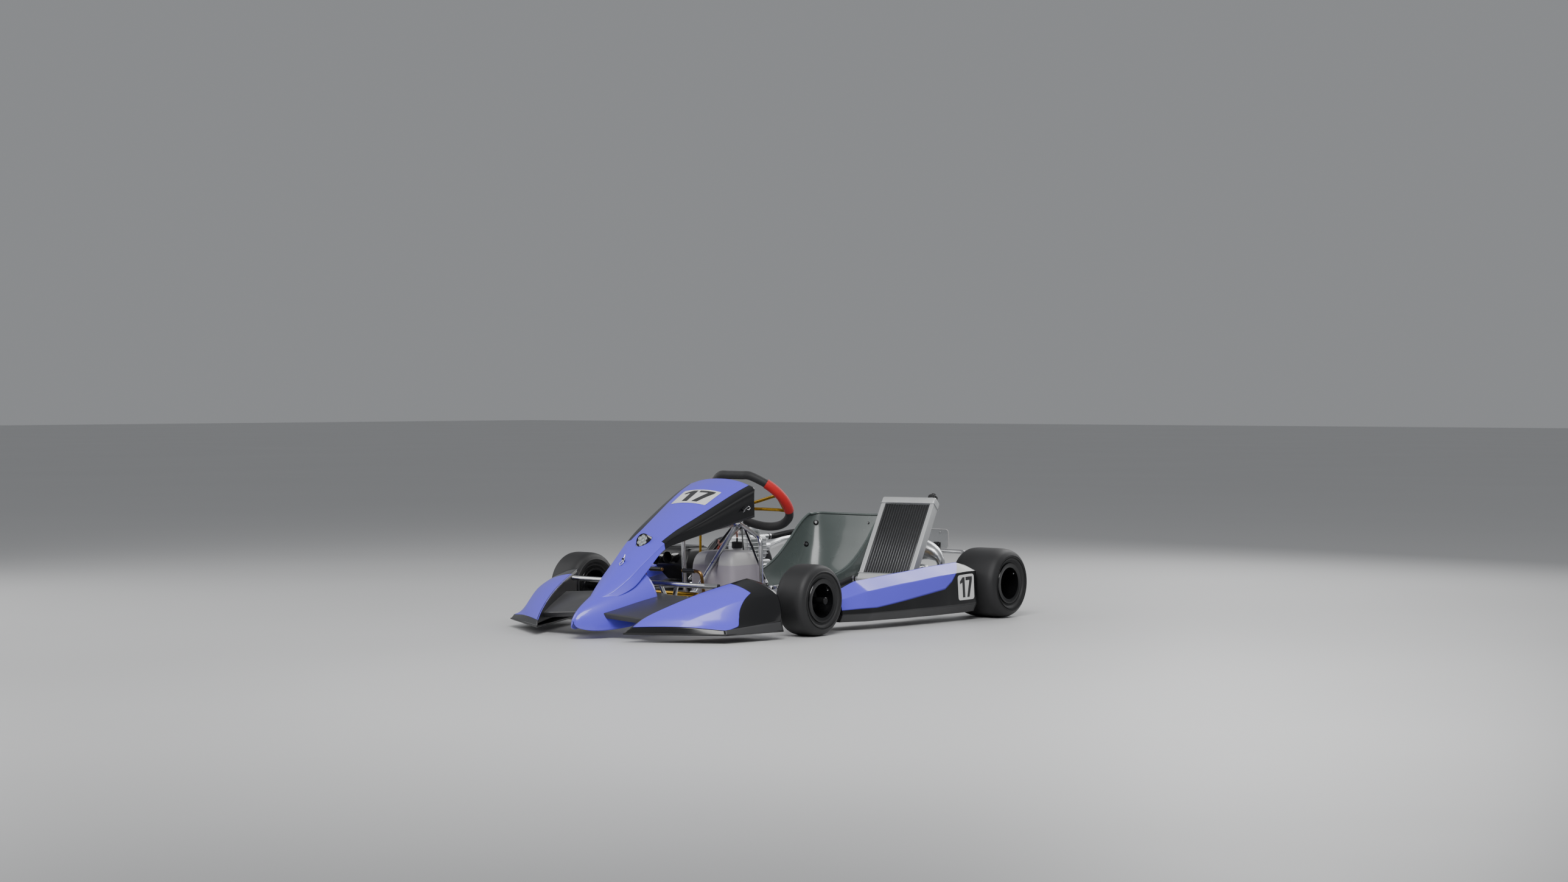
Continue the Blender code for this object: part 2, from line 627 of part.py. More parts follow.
def fuel_tank():
    y0, y1 = FRONT_Y + 0.108, FRONT_Y + 0.285
    base = FRAME_Z - TUBE + 2 * GAP
    body = hull("fuel_tank", [(sx * TANK_HALF, y, z) for sx in (1, -1) for y in (y0, y1) for z in (base,
                                                                                                   0.170)]
                + [(sx * (TANK_HALF - 0.008), y, TANK_TOP - 0.040) for sx in (1, -1) for y in (y0 + 0.008,
                                                                                               y1 - 0.004)]
                + [(sx * (TANK_HALF - 0.036), y, TANK_TOP) for sx in (1, -1) for y in (y0 + 0.045,
                                                                                       y1 - 0.02)], TANK)
    groove_middle = COLUMN_POINT + COLUMN_AXIS * -0.10 + COLUMN_UP * 0.042
    groove = box("groove", TANK_GROOVE, groove_middle, TANK, Matrix.Rotation(COLUMN_SLOPE, 4, "X"))
    neck = cylinder("neck", 0.017, (0, NECK_Y, TANK_TOP - 0.01), (0, NECK_Y, TANK_TOP + NECK_HEIGHT), TANK,
                    20)
    made = cut(body, [groove])
    return union("fuel_tank", TANK, [made, neck])


CAP_SEAT_Z = TANK_TOP + NECK_HEIGHT + GAP


def fuel_cap():
    base, y = CAP_SEAT_Z, NECK_Y
    cap = cylinder("fuel_cap", 0.020, (0, y, base), (0, y, base + CAP_HEIGHT), BLACK, 20)
    spout = cylinder("spout", 0.004, (0, y, base + 0.02), (0, y, base + SPOUT_HEIGHT), BLACK, 10)
    return pivoted(union("fuel_cap", BLACK, [cap, spout]), (0, y, base))


# ---------------------------------------------------------------- steering
WHEEL_CENTRE = COLUMN_POINT + COLUMN_AXIS * 0.172
HUB_PLACE = COLUMN_POINT + COLUMN_AXIS * 0.134
COLUMN_FOOT = COLUMN_POINT - COLUMN_AXIS * 0.318
PITMAN_OUT = 0.018
PITMAN_DOWN = 0.044


def on_wheel(x, up, deep=0.0):
    """A point in the steering wheel's plane."""
    return WHEEL_CENTRE + Vector((x, 0, 0)) + COLUMN_UP * up + COLUMN_AXIS * deep


def steering_wheel():
    r = WHEEL_RIM_RADIUS
    flat = 0.078
    top = r * 0.925
    start = math.atan2(top, flat)
    points = [on_wheel(-flat * 0.4, top), on_wheel(-flat * 0.85, top * 0.995)]
    turns = 20
    sweep = 2 * math.pi - (math.pi - 2 * start)
    first = math.pi - start + math.radians(7)
    for i in range(turns + 1):
        a = first + (sweep - math.radians(14)) * i / turns
        squash = 0.965 if math.sin(a) < -0.7 else 1.0
        points.append(on_wheel(r * 1.07 * math.cos(a), r * squash * math.sin(a)))
    points += [on_wheel(flat * 0.85, top * 0.995), on_wheel(flat * 0.4, top)]
    return pivoted(baked(tube("steering_wheel", points, GRIP_RADIUS, SUEDE, 2, closed=True)), WHEEL_CENTRE)


SPOKE_RADIUS = 0.0060
SPOKE_UP, SPOKE_DOWN = 0.030, -0.055   # where the spokes meet the grip, from the wheel's middle


def steering_spokes():
    hub = cylinder("hub", 0.026, HUB_PLACE + COLUMN_AXIS * GAP, HUB_PLACE + COLUMN_AXIS * 0.008, GOLD, 20)
    pieces = [hub]
    reach = WHEEL_RIM_RADIUS * 1.07 - GRIP_RADIUS - GAP * 2
    lift = (WHEEL_CENTRE - HUB_PLACE).length - 0.004
    for _, side in SIDES:
        def at(out, up, rise):
            return HUB_PLACE + Vector((side * out, 0, 0)) + COLUMN_UP * up + COLUMN_AXIS * (0.006 + rise)
        for up, foot in ((SPOKE_UP, 0.012), (SPOKE_DOWN, -0.012)):
            outer = math.sqrt(reach ** 2 - up ** 2) - 0.004
            path = [at(0.006, foot, 0), at(0.050, foot + (up - foot) * 0.3, lift * 0.35),
                    at(outer * 0.82, up * 0.85, lift * 0.9), at(outer, up, lift)]
            pieces.append(tube("spoke", bent(path, 0.03, 2), SPOKE_RADIUS, GOLD, 2))
        ends = [at(math.sqrt(reach ** 2 - up ** 2) - 0.010, up, lift) for up in (SPOKE_UP, SPOKE_DOWN)]
        pieces.append(tube("web", ends, SPOKE_RADIUS, GOLD, 2))
    return pivoted(union("steering_spokes", GOLD, pieces), HUB_PLACE)


def steering_column():
    shaft = cylinder("shaft", COLUMN_RADIUS, COLUMN_FOOT, HUB_PLACE, RAW, 20)
    flange = cylinder("flange", 0.022, HUB_PLACE - COLUMN_AXIS * 0.012, HUB_PLACE, RAW, 20)
    arm = hull("arm", [COLUMN_FOOT + COLUMN_AXIS * d + Vector((x, 0, 0)) + COLUMN_UP * u
                       for d in (0.012, 0.020)
                       for x, u in ((-0.014, 0.012), (0.014, 0.012), (-PITMAN_OUT - 0.010, -PITMAN_DOWN),
                                    (PITMAN_OUT + 0.010, -PITMAN_DOWN), (-PITMAN_OUT, -PITMAN_DOWN - 0.010),
                                    (PITMAN_OUT, -PITMAN_DOWN - 0.010))], RAW)
    return pivoted(union("steering_column", RAW, [shaft, flange, arm]), COLUMN_POINT)


SUPPORT_BASE_X = RAIL_FRONT_X - 0.012
SUPPORT_Y = FRONT_Y + 0.180
BRACKET_AT = COLUMN_POINT + COLUMN_AXIS * 0.048


def steering_support():
    collar = cylinder("collar", 0.019, BRACKET_AT - COLUMN_AXIS * 0.018, BRACKET_AT + COLUMN_AXIS * 0.018,
                      CHROME, 20)
    pieces = [collar]
    for _, side in SIDES:
        foot = Vector((side * (SUPPORT_BASE_X + 0.004), SUPPORT_Y, FRAME_Z + TUBE + 2 * GAP))
        knee = Vector((side * 0.190, SUPPORT_Y - 0.012, 0.325))
        head = BRACKET_AT + Vector((side * 0.012, 0, 0))
        pieces.append(tube("leg", bent([foot, knee, head], 0.035, 3), 0.0085, CHROME, 2))
        ear = BRACKET_AT + Vector((side * 0.019, 0, 0)) - COLUMN_AXIS * 0.004
        pieces.append(box("ear", (0.006, 0.030, 0.042), ear, CHROME, Matrix.Rotation(COLUMN_SLOPE, 4, "X")))
    pieces.append(tube("panel_post", [BRACKET_AT + COLUMN_UP * 0.017, front(0, 0.150, 0.528)], 0.005, CHROME,
                       2))
    made = union("steering_support", CHROME, pieces)
    low, high = BRACKET_AT - COLUMN_AXIS * 0.08, BRACKET_AT + COLUMN_AXIS * 0.06
    bore = cylinder("bore", COLUMN_RADIUS + RUN, low, high, CHROME, 20)
    return cut(made, [bore])


def column_stay(label, side):
    """The thin black stay from the column's bracket down to the rail."""
    head = BRACKET_AT + Vector((side * 0.0275, 0, 0)) - COLUMN_UP * 0.012
    foot = Vector((side * 0.187, SUPPORT_Y + 0.026, FRAME_Z + TUBE + GAP))
    knee = foot + Vector((side * 0.006, 0, 0.072))
    return tube(f"column_stay_{label}", bent([head, knee, foot], 0.012, 2), 0.0045, BLACK, 2)


ARM_BACK = 0.088             # from the kingpin back to the tie rod's joint
ARM_IN = 0.022
TIE_RISE = 0.016             # the tie rod lies this far above the spindle's arm
PITMAN_CLEAR = 0.006         # the tie rods' inner joints stay open, below the column's arm
SPINDLE_SLEEVE = YOKE_HALF_HEIGHT - YOKE_PLATE / 2 - RUN


def arm_end(side):
    """The middle of the eye on the spindle's arm."""
    return kingpin_point(side, -0.022) + Vector((-side * ARM_IN, ARM_BACK, 0))


def spindle(label, side):
    axis = kingpin_axis(side)
    middle = kingpin_point(side)
    sleeve = cylinder("sleeve", 0.0135, middle - axis * SPINDLE_SLEEVE, middle + axis * SPINDLE_SLEEVE,
                      STEEL, 16)
    shaft = cylinder("shaft", SPINDLE_RADIUS, middle, middle + Vector((side * STUB_LENGTH, 0, 0)), STEEL, 20)
    arm = tube("arm", [kingpin_point(side, -0.022), arm_end(side) + Vector((0, 0.010, 0))], 0.006, STEEL, 2)
    return pivoted(union(f"spindle_{label}", STEEL, [sleeve, shaft, arm]), middle)


def tie_rod(label, side):
    outer = arm_end(side) + Vector((0, 0, TIE_RISE))
    inner = (COLUMN_FOOT + Vector((side * PITMAN_OUT, 0, 0)) - COLUMN_UP * PITMAN_DOWN
             - COLUMN_AXIS * (PITMAN_CLEAR * 2 - 0.012))
    rod = tube("rod", [outer, inner], 0.0060, GOLD, 2)
    eye = cylinder("eye", 0.0105, outer - Vector((0, 0, TIE_RISE - 0.0066)), outer + Vector((0, 0, 0.006)),
                   GOLD, 14)
    eye_in = cylinder("eye_in", 0.0100, inner - COLUMN_AXIS * 0.006, inner + COLUMN_AXIS * 0.006, GOLD, 14)
    return pivoted(union(f"tie_rod_{label}", GOLD, [rod, eye, eye_in]), outer)


# ---------------------------------------------------------------- wheels
def tyre_profile(radius, width):
    """Slick tyre: a flat tread, round shoulders, bulged walls, and beads between the rim's lips."""
    bead, h = RIM_RADIUS + GAP, width / 2
    side = [(radius, h * 0.58), (radius - 0.010, h * 0.88), ((radius + RIM_LIP) / 2, h),
            (RIM_LIP + 0.003, h * 0.86),
            (bead, h * 0.86), (bead, h * 0.74), (radius - 0.030, h * 0.84), (radius - 0.010, h * 0.52)]
    return side + [(r, -t) for r, t in reversed(side)]


def rim_profile(width, web_at):
    """A barrel with a well and two lips, and a web at web_at that carries the hub."""
    h, r, w = width / 2, RIM_RADIUS, RIM_WALL
    lip, floor, well = h * 0.86 + GAP, RIM_RADIUS - 0.012, h * 0.25
    side = [(floor, well), (r, h * 0.60), (r, lip), (RIM_LIP, lip), (RIM_LIP, lip + 0.005),
            (r - w, lip + 0.006),
            (floor - w, well)]
    web = [(floor - w, web_at + 0.005), (HUB_RADIUS, web_at + 0.005), (HUB_RADIUS, web_at - 0.005),
           (floor - w, web_at - 0.005)]
    return side + web + [(a, -t) for a, t in reversed(side)]


def wheel_parts(end, label, side, centre, radius, width, bore, web_at):
    axis = Vector((side, 0, 0))
    turned(f"{end}_tyre_{label}", tyre_profile(radius, width), centre, axis, TYRE, TYRE_SIDES)
    rim = turned("barrel", rim_profile(width, web_at), centre, axis, RIM, TYRE_SIDES)
    hub_in, hub_out = centre + axis * (web_at - 0.030), centre + axis * (web_at + 0.018)
    hub = cylinder("hub", HUB_RADIUS + 0.004, hub_in, hub_out, RIM, 16)
    made = pivoted(union(f"{end}_rim_{label}", RIM, [rim, hub]), centre)
    return cut(made, [cylinder("hub_bore", bore, hub_in - axis * 0.05, hub_out + axis * 0.05, RIM, 20)])


FRONT_WHEEL_X = FRONT_HALF_WIDTH - FRONT_TYRE_WIDTH / 2
REAR_WHEEL_X = REAR_HALF_WIDTH - REAR_TYRE_WIDTH / 2
FRONT_WEB_AT = -0.008
REAR_WEB_AT = 0.0


# ---------------------------------------------------------------- rear axle and brakes
def rear_axle():
    half = REAR_WHEEL_X + REAR_WEB_AT + 0.016
    axle = cylinder("rear_axle", AXLE_RADIUS, rear(-half, 0, REAR_AXLE_Z), rear(half, 0, REAR_AXLE_Z), STEEL,
                    20)
    return pivoted(axle, rear(0, 0, REAR_AXLE_Z))


def bearing_carrier(label, side):
    half, bore, outer = BEARING_WIDTH / 2, AXLE_RADIUS + RUN, CARRIER_RADIUS - 2 * GAP
    ring = [(bore, -half), (outer, -half), (outer, half), (bore, half)]
    return turned(f"bearing_carrier_{label}", ring, rear(side * RAIL_REAR_X, 0, REAR_AXLE_Z), (1, 0, 0), RAW,
                  20)


def hubbed_disc(name, radius, half, hub_half, bore, centre, finish):
    """A flat disc with a hub that is as thick as the disc's bore needs."""
    hub = bore + 0.012
    ring = [(bore, -hub_half), (hub, -hub_half), (hub, -half), (radius, -half), (radius, half), (hub, half),
            (hub, hub_half), (bore, hub_half)]
    return turned(name, ring, centre, (1, 0, 0), finish, DISC_SIDES)


BRAKE_CENTRE = rear(DISC_X, 0, REAR_AXLE_Z)
SPROCKET_CENTRE = rear(CHAIN_X, 0, REAR_AXLE_Z)
CRANK = rear(CHAIN_X, -0.240, 0.132)
CHAIN_HALF = 0.0045
CHAIN_THICK = 0.006
DISC_HALF = 0.0035
SPROCKET_HALF = 0.003
SHAFT_RADIUS = 0.0080
DISC_BORE = AXLE_RADIUS / math.cos(math.pi / DISC_SIDES) + FIT


def chain():
    """A closed belt around the two sprockets, as wide as the chain's rollers."""
    span = SPROCKET_CENTRE - CRANK
    lean = math.asin((SPROCKET_RADIUS - DRIVE_SPROCKET_RADIUS) / span.length)
    heading = math.atan2(span.z, span.y)
    wraps = ((SPROCKET_CENTRE, SPROCKET_RADIUS, -(math.pi / 2 + lean), math.pi + 2 * lean, 14),
             (CRANK, DRIVE_SPROCKET_RADIUS, math.pi / 2 + lean, math.pi - 2 * lean, 8))
    bm = bmesh.new()
    rings = []
    for centre, radius, start, sweep, steps in wraps:
        inner = (radius + 2 * GAP) / math.cos(sweep / steps / 2)
        for i in range(steps + 1):
            a = heading + start + sweep * i / steps
            ray = Vector((0, math.cos(a), math.sin(a)))
            rings.append([bm.verts.new(centre + ray * r + Vector((x, 0, 0)))
                          for x, r in ((-CHAIN_HALF, inner), (CHAIN_HALF, inner),
                                       (CHAIN_HALF, inner + CHAIN_THICK),
                                       (-CHAIN_HALF, inner + CHAIN_THICK))])
    for a, b in zip(rings, rings[1:] + rings[:1]):
        for i in range(4):
            bm.faces.new((a[i], a[(i + 1) % 4], b[(i + 1) % 4], b[i]))
    return from_bmesh("chain", bm, STEEL)


def brake_caliper():
    """The caliper over the disc, its bracket, and the two bosses that reach the bearing's hanger."""
    y, z = REAR_Y - 0.052, REAR_AXLE_Z
    top = DISC_RADIUS + 0.003
    body = box("body", (0.060, 0.066, 0.060), (DISC_X, y, z + top - 0.024), GOLD, None, 0.005)
    plate_x = RAIL_REAR_X - BEARING_WIDTH / 2 - 0.008
    bosses = ((REAR_Y - 0.055, z + 0.007), (REAR_Y - 0.052, FRAME_Z + TUBE + 0.0043))
    corners = [(y - 0.030, z + 0.080), (y + 0.020, z + 0.080), (bosses[1][0] + 0.009, bosses[1][1] - 0.009),
               (bosses[1][0] - 0.009, bosses[1][1] - 0.009)]
    plate = hull("plate", [(plate_x + sx * 0.003, py, pz) for sx in (1, -1) for py, pz in corners], GOLD)
    link = box("link", (plate_x - DISC_X, 0.040, 0.024),
               ((plate_x + DISC_X) / 2 + 0.004, y - 0.005, z + 0.079), GOLD)
    end = RAIL_REAR_X - HANGER_PLATE / 2 - GAP
    pegs = [cylinder("boss", 0.0055, (plate_x, py, pz), (end, py, pz), GOLD, 12) for py, pz in bosses]
    made = union("brake_caliper", GOLD, [body, plate, link, *pegs])
    slot = box("slot", (2 * DISC_HALF + 0.003, 0.14, 0.12), (DISC_X, y, z + top - 0.06), GOLD)
    return cut(made, [slot])


def master_cylinder():
    """The brake master cylinder, standing on the front cross tube."""
    y, z = CROSS_FRONT_Y, 0.103
    seat_z = FRAME_Z + TUBE + GAP
    body = cylinder("body", 0.013, (PEDAL_X, y - 0.034, z), (PEDAL_X, y + 0.036, z), RAW, 16)
    pot = box("pot", (0.030, 0.036, 0.030), (PEDAL_X, y + 0.012, z + 0.022), RAW, None, 0.003)
    foot = box("foot", (0.022, 0.030, z - seat_z), (PEDAL_X, y, (z + seat_z) / 2), RAW)
    return union("master_cylinder", RAW, [body, pot, foot])


# ---------------------------------------------------------------- pedals and gear lever
PEDAL_PIVOT = FRONT_Y - 0.080, 0.064


def pedal(name, side):
    y, z = PEDAL_PIVOT
    path = bent([(PEDAL_X, y, z), (PEDAL_X, y - 0.030, 0.216), (0.048, y - 0.030, 0.216)], 0.024, 4)
    arm = tube("arm", sided(path, side), 0.0060, GOLD, 2)
    eye = cylinder("eye", 0.011, (side * (PEDAL_X - 0.010), y, z), (side * (PEDAL_X + 0.010), y, z), GOLD, 16)
    return pivoted(union(name, GOLD, [arm, eye]), (side * PEDAL_X, y, z))


def gear_lever():
    x, y = -0.240, FRONT_Y + 0.330
    foot, bend = Vector((x, y, 0.100)), Vector((x, y, 0.382))
    top = Vector((x + 0.020, y - 0.008, 0.436))
    rod = tube("rod", bent([foot, bend, top], 0.03, 3), 0.0048, GOLD, 2)
    eye = cylinder("eye", 0.010, foot - Vector((0.008, 0, 0)), foot + Vector((0.008, 0, 0)), GOLD, 12)
    knob = cylinder("knob", 0.012, top - (top - bend).normalized() * 0.012,
                    top + (top - bend).normalized() * 0.018,
                    GOLD, 14)
    return pivoted(union("gear_lever", GOLD, [rod, eye, knob]), foot)


# ---------------------------------------------------------------- engine, on the kart's right
def engine_case():
    y0, y1 = REAR_Y - 0.400, REAR_Y - 0.150
    body = hull("case", [(x, y, z) for x, y, z in (
        (-0.440, y0 + 0.02, 0.092), (-0.440, y1 - 0.02, 0.092), (-0.275, y0 + 0.02, 0.092),
                                                   (-0.275, y1 - 0.02, 0.092),
        (-0.440, y0, 0.130), (-0.440, y1, 0.130), (-0.275, y0, 0.130), (-0.275, y1, 0.130),
        (-0.430, y0 + 0.03, 0.198), (-0.430, y1 - 0.07, 0.198), (-0.280, y0 + 0.03, 0.198),
                                                   (-0.280, y1 - 0.07, 0.198))],
        RAW, 0.006)
    cover = cylinder("cover", 0.052, (-0.452, REAR_Y - 0.300, 0.140), (-0.43, REAR_Y - 0.300, 0.140), RAW, 24)
    clutch = cylinder("clutch", 0.044, (-0.226, REAR_Y - 0.315, 0.142), (-0.29, REAR_Y - 0.315, 0.142), RAW,
                      24)
    shaft = cylinder("shaft", SHAFT_RADIUS, (CHAIN_X + 0.012, CRANK.y, CRANK.z),
                     (CHAIN_X - 0.03, CRANK.y, CRANK.z), RAW, 14)
    feet = [box("foot", (0.040, 0.034, 0.030), (-RAIL_REAR_X - 0.004, REAR_Y + dy, FRAME_Z + TUBE + 0.0152),
                RAW)
            for dy in (-0.345, -0.205)]
    return union("engine_case", RAW, [body, cover, clutch, shaft, *feet])


CYLINDER_AT = rear(-0.345, -0.285, 0.1985)


def engine_cylinder():
    x, y, z = CYLINDER_AT
    barrel = hull("barrel", [(x + sx * w, y + sy * d, z + h) for sx in (1, -1) for sy in (1, -1)
                             for w, d, h in ((0.052, 0.060, GAP), (0.060, 0.062, 0.02),
                                             (0.060, 0.060, 0.095), (0.050, 0.050, 0.104))],
                  RAW, 0.008)
    head = cylinder("head", 0.050, (x, y, z + 0.098), (x, y, z + 0.132), RAW, 24, 0.044)
    dome = cylinder("dome", 0.022, (x, y - 0.01, z + 0.125), (x, y - 0.01, z + 0.150), RAW, 20, 0.017)
    port = cylinder("port", 0.021, (x + 0.010, y + 0.05, z + 0.045), (x + 0.010, y + 0.078, z + 0.045), RAW,
                    18)
    outlet = cylinder("outlet", 0.011, (x + 0.040, y + 0.045, z + 0.088), (x + 0.044, y + 0.074, z + 0.088),
                      RAW, 14)
    return union("engine_cylinder", RAW, [barrel, head, dome, port, outlet])


def carburettor():
    x, y, z = -0.372, REAR_Y - 0.385, 0.166
    body = box("body", (0.052, 0.052, 0.060), (x, y - 0.055, z), RAW, None, 0.005)
    throat = cylinder("throat", 0.022, (x, y - 0.016 - GAP, z), (x, y - 0.100, z), RAW, 18)
    bowl = cylinder("bowl", 0.020, (x, y - 0.055, z - 0.050), (x, y - 0.055, z - 0.02), RAW, 18)
    top = cylinder("top", 0.017, (x, y - 0.055, z + 0.025), (x, y - 0.055, z + 0.062), RAW, 18)
    return union("carburettor", RAW, [body, throat, bowl, top])


AIRBOX_REAR_Y = REAR_Y - 0.490
TRUMPETS = ((-0.482, 0.215), (-0.418, 0.222))   # x and z of the two inlets


def airbox():
    y1 = AIRBOX_REAR_Y
    y0 = y1 - 0.140
    body = hull("body", [(x, y, z) for x, y, z in (
        (-0.525, y0 + 0.03, 0.128), (-0.355, y0 + 0.03, 0.128), (-0.525, y1, 0.128), (-0.355, y1, 0.128),
        (-0.525, y0 - 0.02, 0.190), (-0.355, y0 - 0.02, 0.190), (-0.525, y0 + 0.01, 0.250),
                                                   (-0.365, y0 + 0.01, 0.250),
        (-0.515, y0 + 0.02, 0.258), (-0.375, y0 + 0.02, 0.258), (-0.515, y1 - 0.01, 0.258),
                                                   (-0.375, y1 - 0.01, 0.258),
        (-0.525, y1, 0.245), (-0.360, y1, 0.245))], BLACK, 0.006)
    pieces = [body]
    for x, z in TRUMPETS:
        pieces.append(cylinder("trumpet", 0.0235, (x, y0 - 0.060, z), (x, y0 + 0.05, z), BLACK, 16))
    made = union("airbox", BLACK, pieces)
    mouths = [cylinder("mouth", 0.0205, (x, y0 - 0.10, z), (x, y0 + 0.02, z), BLACK, 16) for x, z in TRUMPETS]
    return cut(made, mouths)


SILENCER_DY, SILENCER_Z = 0.158, 0.140
SILENCER_X = 0.236           # where the silencer meets the pipe


def exhaust_pipe():
    x, y, z = CYLINDER_AT
    bend_x = REAR_TYRE_WIDTH - REAR_HALF_WIDTH + TYRE_TO_EXHAUST
    path = route([(x + 0.010, y + 0.078 + HOSE_GAP, z + 0.045), (x + 0.010, y + 0.108, z + 0.045),
                  (x - 0.03, y + 0.20, z + 0.052),
                   rear(bend_x, 0.02, 0.262), rear(bend_x + 0.028, 0.105, 0.252), rear(-0.290, 0.150, 0.246),
                  rear(-0.150, 0.158, 0.242),
                   rear(0.020, 0.158, 0.242), rear(0.150, 0.158, 0.240), rear(0.235, 0.158, 0.232),
                  rear(0.283, 0.158, 0.205),
                   rear(0.292, 0.158, 0.168), rear(SILENCER_X + 0.026, SILENCER_DY, SILENCER_Z),
                  rear(SILENCER_X, SILENCER_DY, SILENCER_Z)])
    widths = [1, 1, 1, 1, 1.02, 1.05, 1.1, 1.2, 1.3, 1.45, 1.7, 2.0, 2.3, 2.45, 2.5, 2.5, 2.3, 1.9, 1.5, 1.2,
              1.0, 0.9, 0.85,
              0.85, 0.85, 0.85, 0.85]
    return tube("exhaust_pipe", path, 0.0185, RAW, 2, widths[:len(path)])


def silencer():
    a = rear(SILENCER_X - HOSE_GAP, SILENCER_DY, SILENCER_Z)
    b = rear(-0.020, SILENCER_DY, SILENCER_Z)
    can = cylinder("can", 0.036, a + Vector((-0.010, 0, 0)), b, RAW, 24)
    cone = cylinder("cone", 0.017, a, a + Vector((-0.014, 0, 0)), RAW, 24, 0.033)
    stub = cylinder("stub", 0.012, b + Vector((0.01, 0, 0)), b + Vector((-0.035, 0, 0)), RAW, 16)
    return union("silencer", RAW, [can, cone, stub])


# ---------------------------------------------------------------- cooling
RAD_TURN = Matrix.Rotation(math.radians(10), 4, "Z") @ Matrix.Rotation(math.radians(-37), 4, "X")
RAD_CENTRE = rear(0.358, -0.222, 0.292)
RAD_WIDTH, RAD_CORE, RAD_DEEP, RAD_TANK = 0.226, 0.325, 0.042, 0.032


def rad(x, y, z):
    """A point in the radiator's own frame: x across, y through, z up the core."""
    return RAD_CENTRE + RAD_TURN.to_3x3() @ Vector((x, y, z))


INLET = (-0.075, RAD_DEEP / 2 - 0.004, RAD_CORE / 2 + 0.016)   # on the back of the top tank
INLET_WAY = RAD_TURN.to_3x3() @ Vector((0, 1, 0))


def radiator():
    core = box("core", (RAD_WIDTH, RAD_DEEP, RAD_CORE + 0.004), RAD_CENTRE, RAW, RAD_TURN)
    pieces = [core]
    for end in (1, -1):
        pieces.append(box("tank", (RAD_WIDTH + 0.004, RAD_DEEP + 0.006, RAD_TANK),
                          rad(0, 0, end * (RAD_CORE + RAD_TANK) / 2),
                          RAW, RAD_TURN, 0.006))
    neck = cylinder("neck", 0.016, rad(0.085, 0.006, RAD_CORE / 2 + RAD_TANK - 0.004),
                    rad(0.085, 0.006, RAD_CORE / 2 + RAD_TANK + 0.008), RAW, 18)
    inlet = cylinder("inlet", 0.011, rad(*INLET), rad(*INLET) + INLET_WAY * 0.022, RAW, 14)
    outlet = cylinder("outlet", 0.011, rad(-0.112, 0, -RAD_CORE / 2 - 0.016),
                      rad(-0.128, 0, -RAD_CORE / 2 - 0.016),
                      RAW, 14)
    return union("radiator", RAW, [*pieces, neck, inlet, outlet])


def radiator_cap():
    a = RAD_CORE / 2 + RAD_TANK + 0.008 + GAP
    cap = cylinder("cap", 0.019, rad(0.085, 0.006, a), rad(0.085, 0.006, a + 0.014), BLACK, 20)
    knob = cylinder("knob", 0.011, rad(0.085, 0.006, a + 0.010), rad(0.085, 0.006, a + 0.024), BLACK, 16)
    return pivoted(union("radiator_cap", BLACK, [cap, knob]), rad(0.085, 0.006, a))


def radiator_bracket():
    base = Vector((RAIL_REAR_X + 0.012, REAR_Y - 0.150, FRAME_Z + TUBE + GAP))
    top = rad(0.03, RAD_DEEP / 2 + 0.008 + GAP, 0.02)
    return tube("radiator_bracket", bent([base, base + Vector((0.002, 0.0, 0.05)), top], 0.03, 3), 0.007,
                CHROME, 2)


def water_hoses():
    x, y, z = CYLINDER_AT
    sideways = RAD_TURN.to_3x3() @ Vector((-1, 0, 0))
    inlet = rad(*INLET) + INLET_WAY * (0.022 + HOSE_GAP)
    start = Vector((x + 0.044, y + 0.074 + HOSE_GAP, z + 0.088))
    upper = route([start, start + Vector((0.004, 0.029, 0)), rear(-0.262, -0.120, 0.300),
                   rear(-0.215, -0.030, 0.312), rear(-0.120, -0.002, 0.320), rear(0.0, -0.002, 0.325),
                   rear(0.110, -0.004, 0.335), rear(0.190, -0.020, 0.362), rear(0.240, -0.052, 0.388),
                   inlet + INLET_WAY * 0.022, inlet])
    tube("water_hose_upper", upper, 0.0115, HOSE, 2)
    outlet = rad(-0.128, 0, -RAD_CORE / 2 - 0.016) + sideways * HOSE_GAP
    lower = route([outlet, outlet + sideways * 0.016, (0.214, SEAT_Y + 0.085, 0.125),
                   (0.212, SEAT_Y - 0.010, 0.100),
                    (0.140, SEAT_Y - 0.090, 0.100), (0.0, SEAT_Y - 0.098, 0.100),
                   (-0.140, SEAT_Y - 0.092, 0.100),
                    (-0.225, SEAT_Y - 0.060, 0.100), (-0.292, SEAT_Y + 0.040, 0.112),
                   (-0.306, SEAT_Y + 0.100, 0.124),
                    (-0.306, REAR_Y - 0.400 - HOSE_GAP, 0.124)])
    tube("water_hose_lower", lower, 0.0115, HOSE, 2)


def fuel_line():
    y = NECK_Y
    top = CAP_SEAT_Z + SPOUT_HEIGHT + HOSE_GAP
    carb = Vector((-0.346 + HOSE_GAP, REAR_Y - 0.440, 0.166))
    path = route([(0, y, top), (0, y, top + 0.014), (-0.02, y + 0.022, top + 0.020),
                  (-0.09, y + 0.040, 0.300),
                   (-0.160, y + 0.055, 0.262), (-0.245, y + 0.112, 0.235), (-0.298, y + 0.168, 0.200),
                   (-0.318, y + 0.24, 0.174), carb + Vector((0.012, 0, 0)), carb])
    return tube("fuel_line", path, 0.0036, COPPER, 2)


def rear_plate():
    y = REAR_Y + REAR_OVERHANG - 0.0015
    plate = box("rear_plate", (0.220, 0.003, 0.078), (0.140, y, 0.274), BLACK, None)
    tongue = box("tongue", (0.030, 0.012, 0.026), (0.20, y - 0.006, 0.249), BLACK)
    return union("rear_plate", BLACK, [plate, tongue])


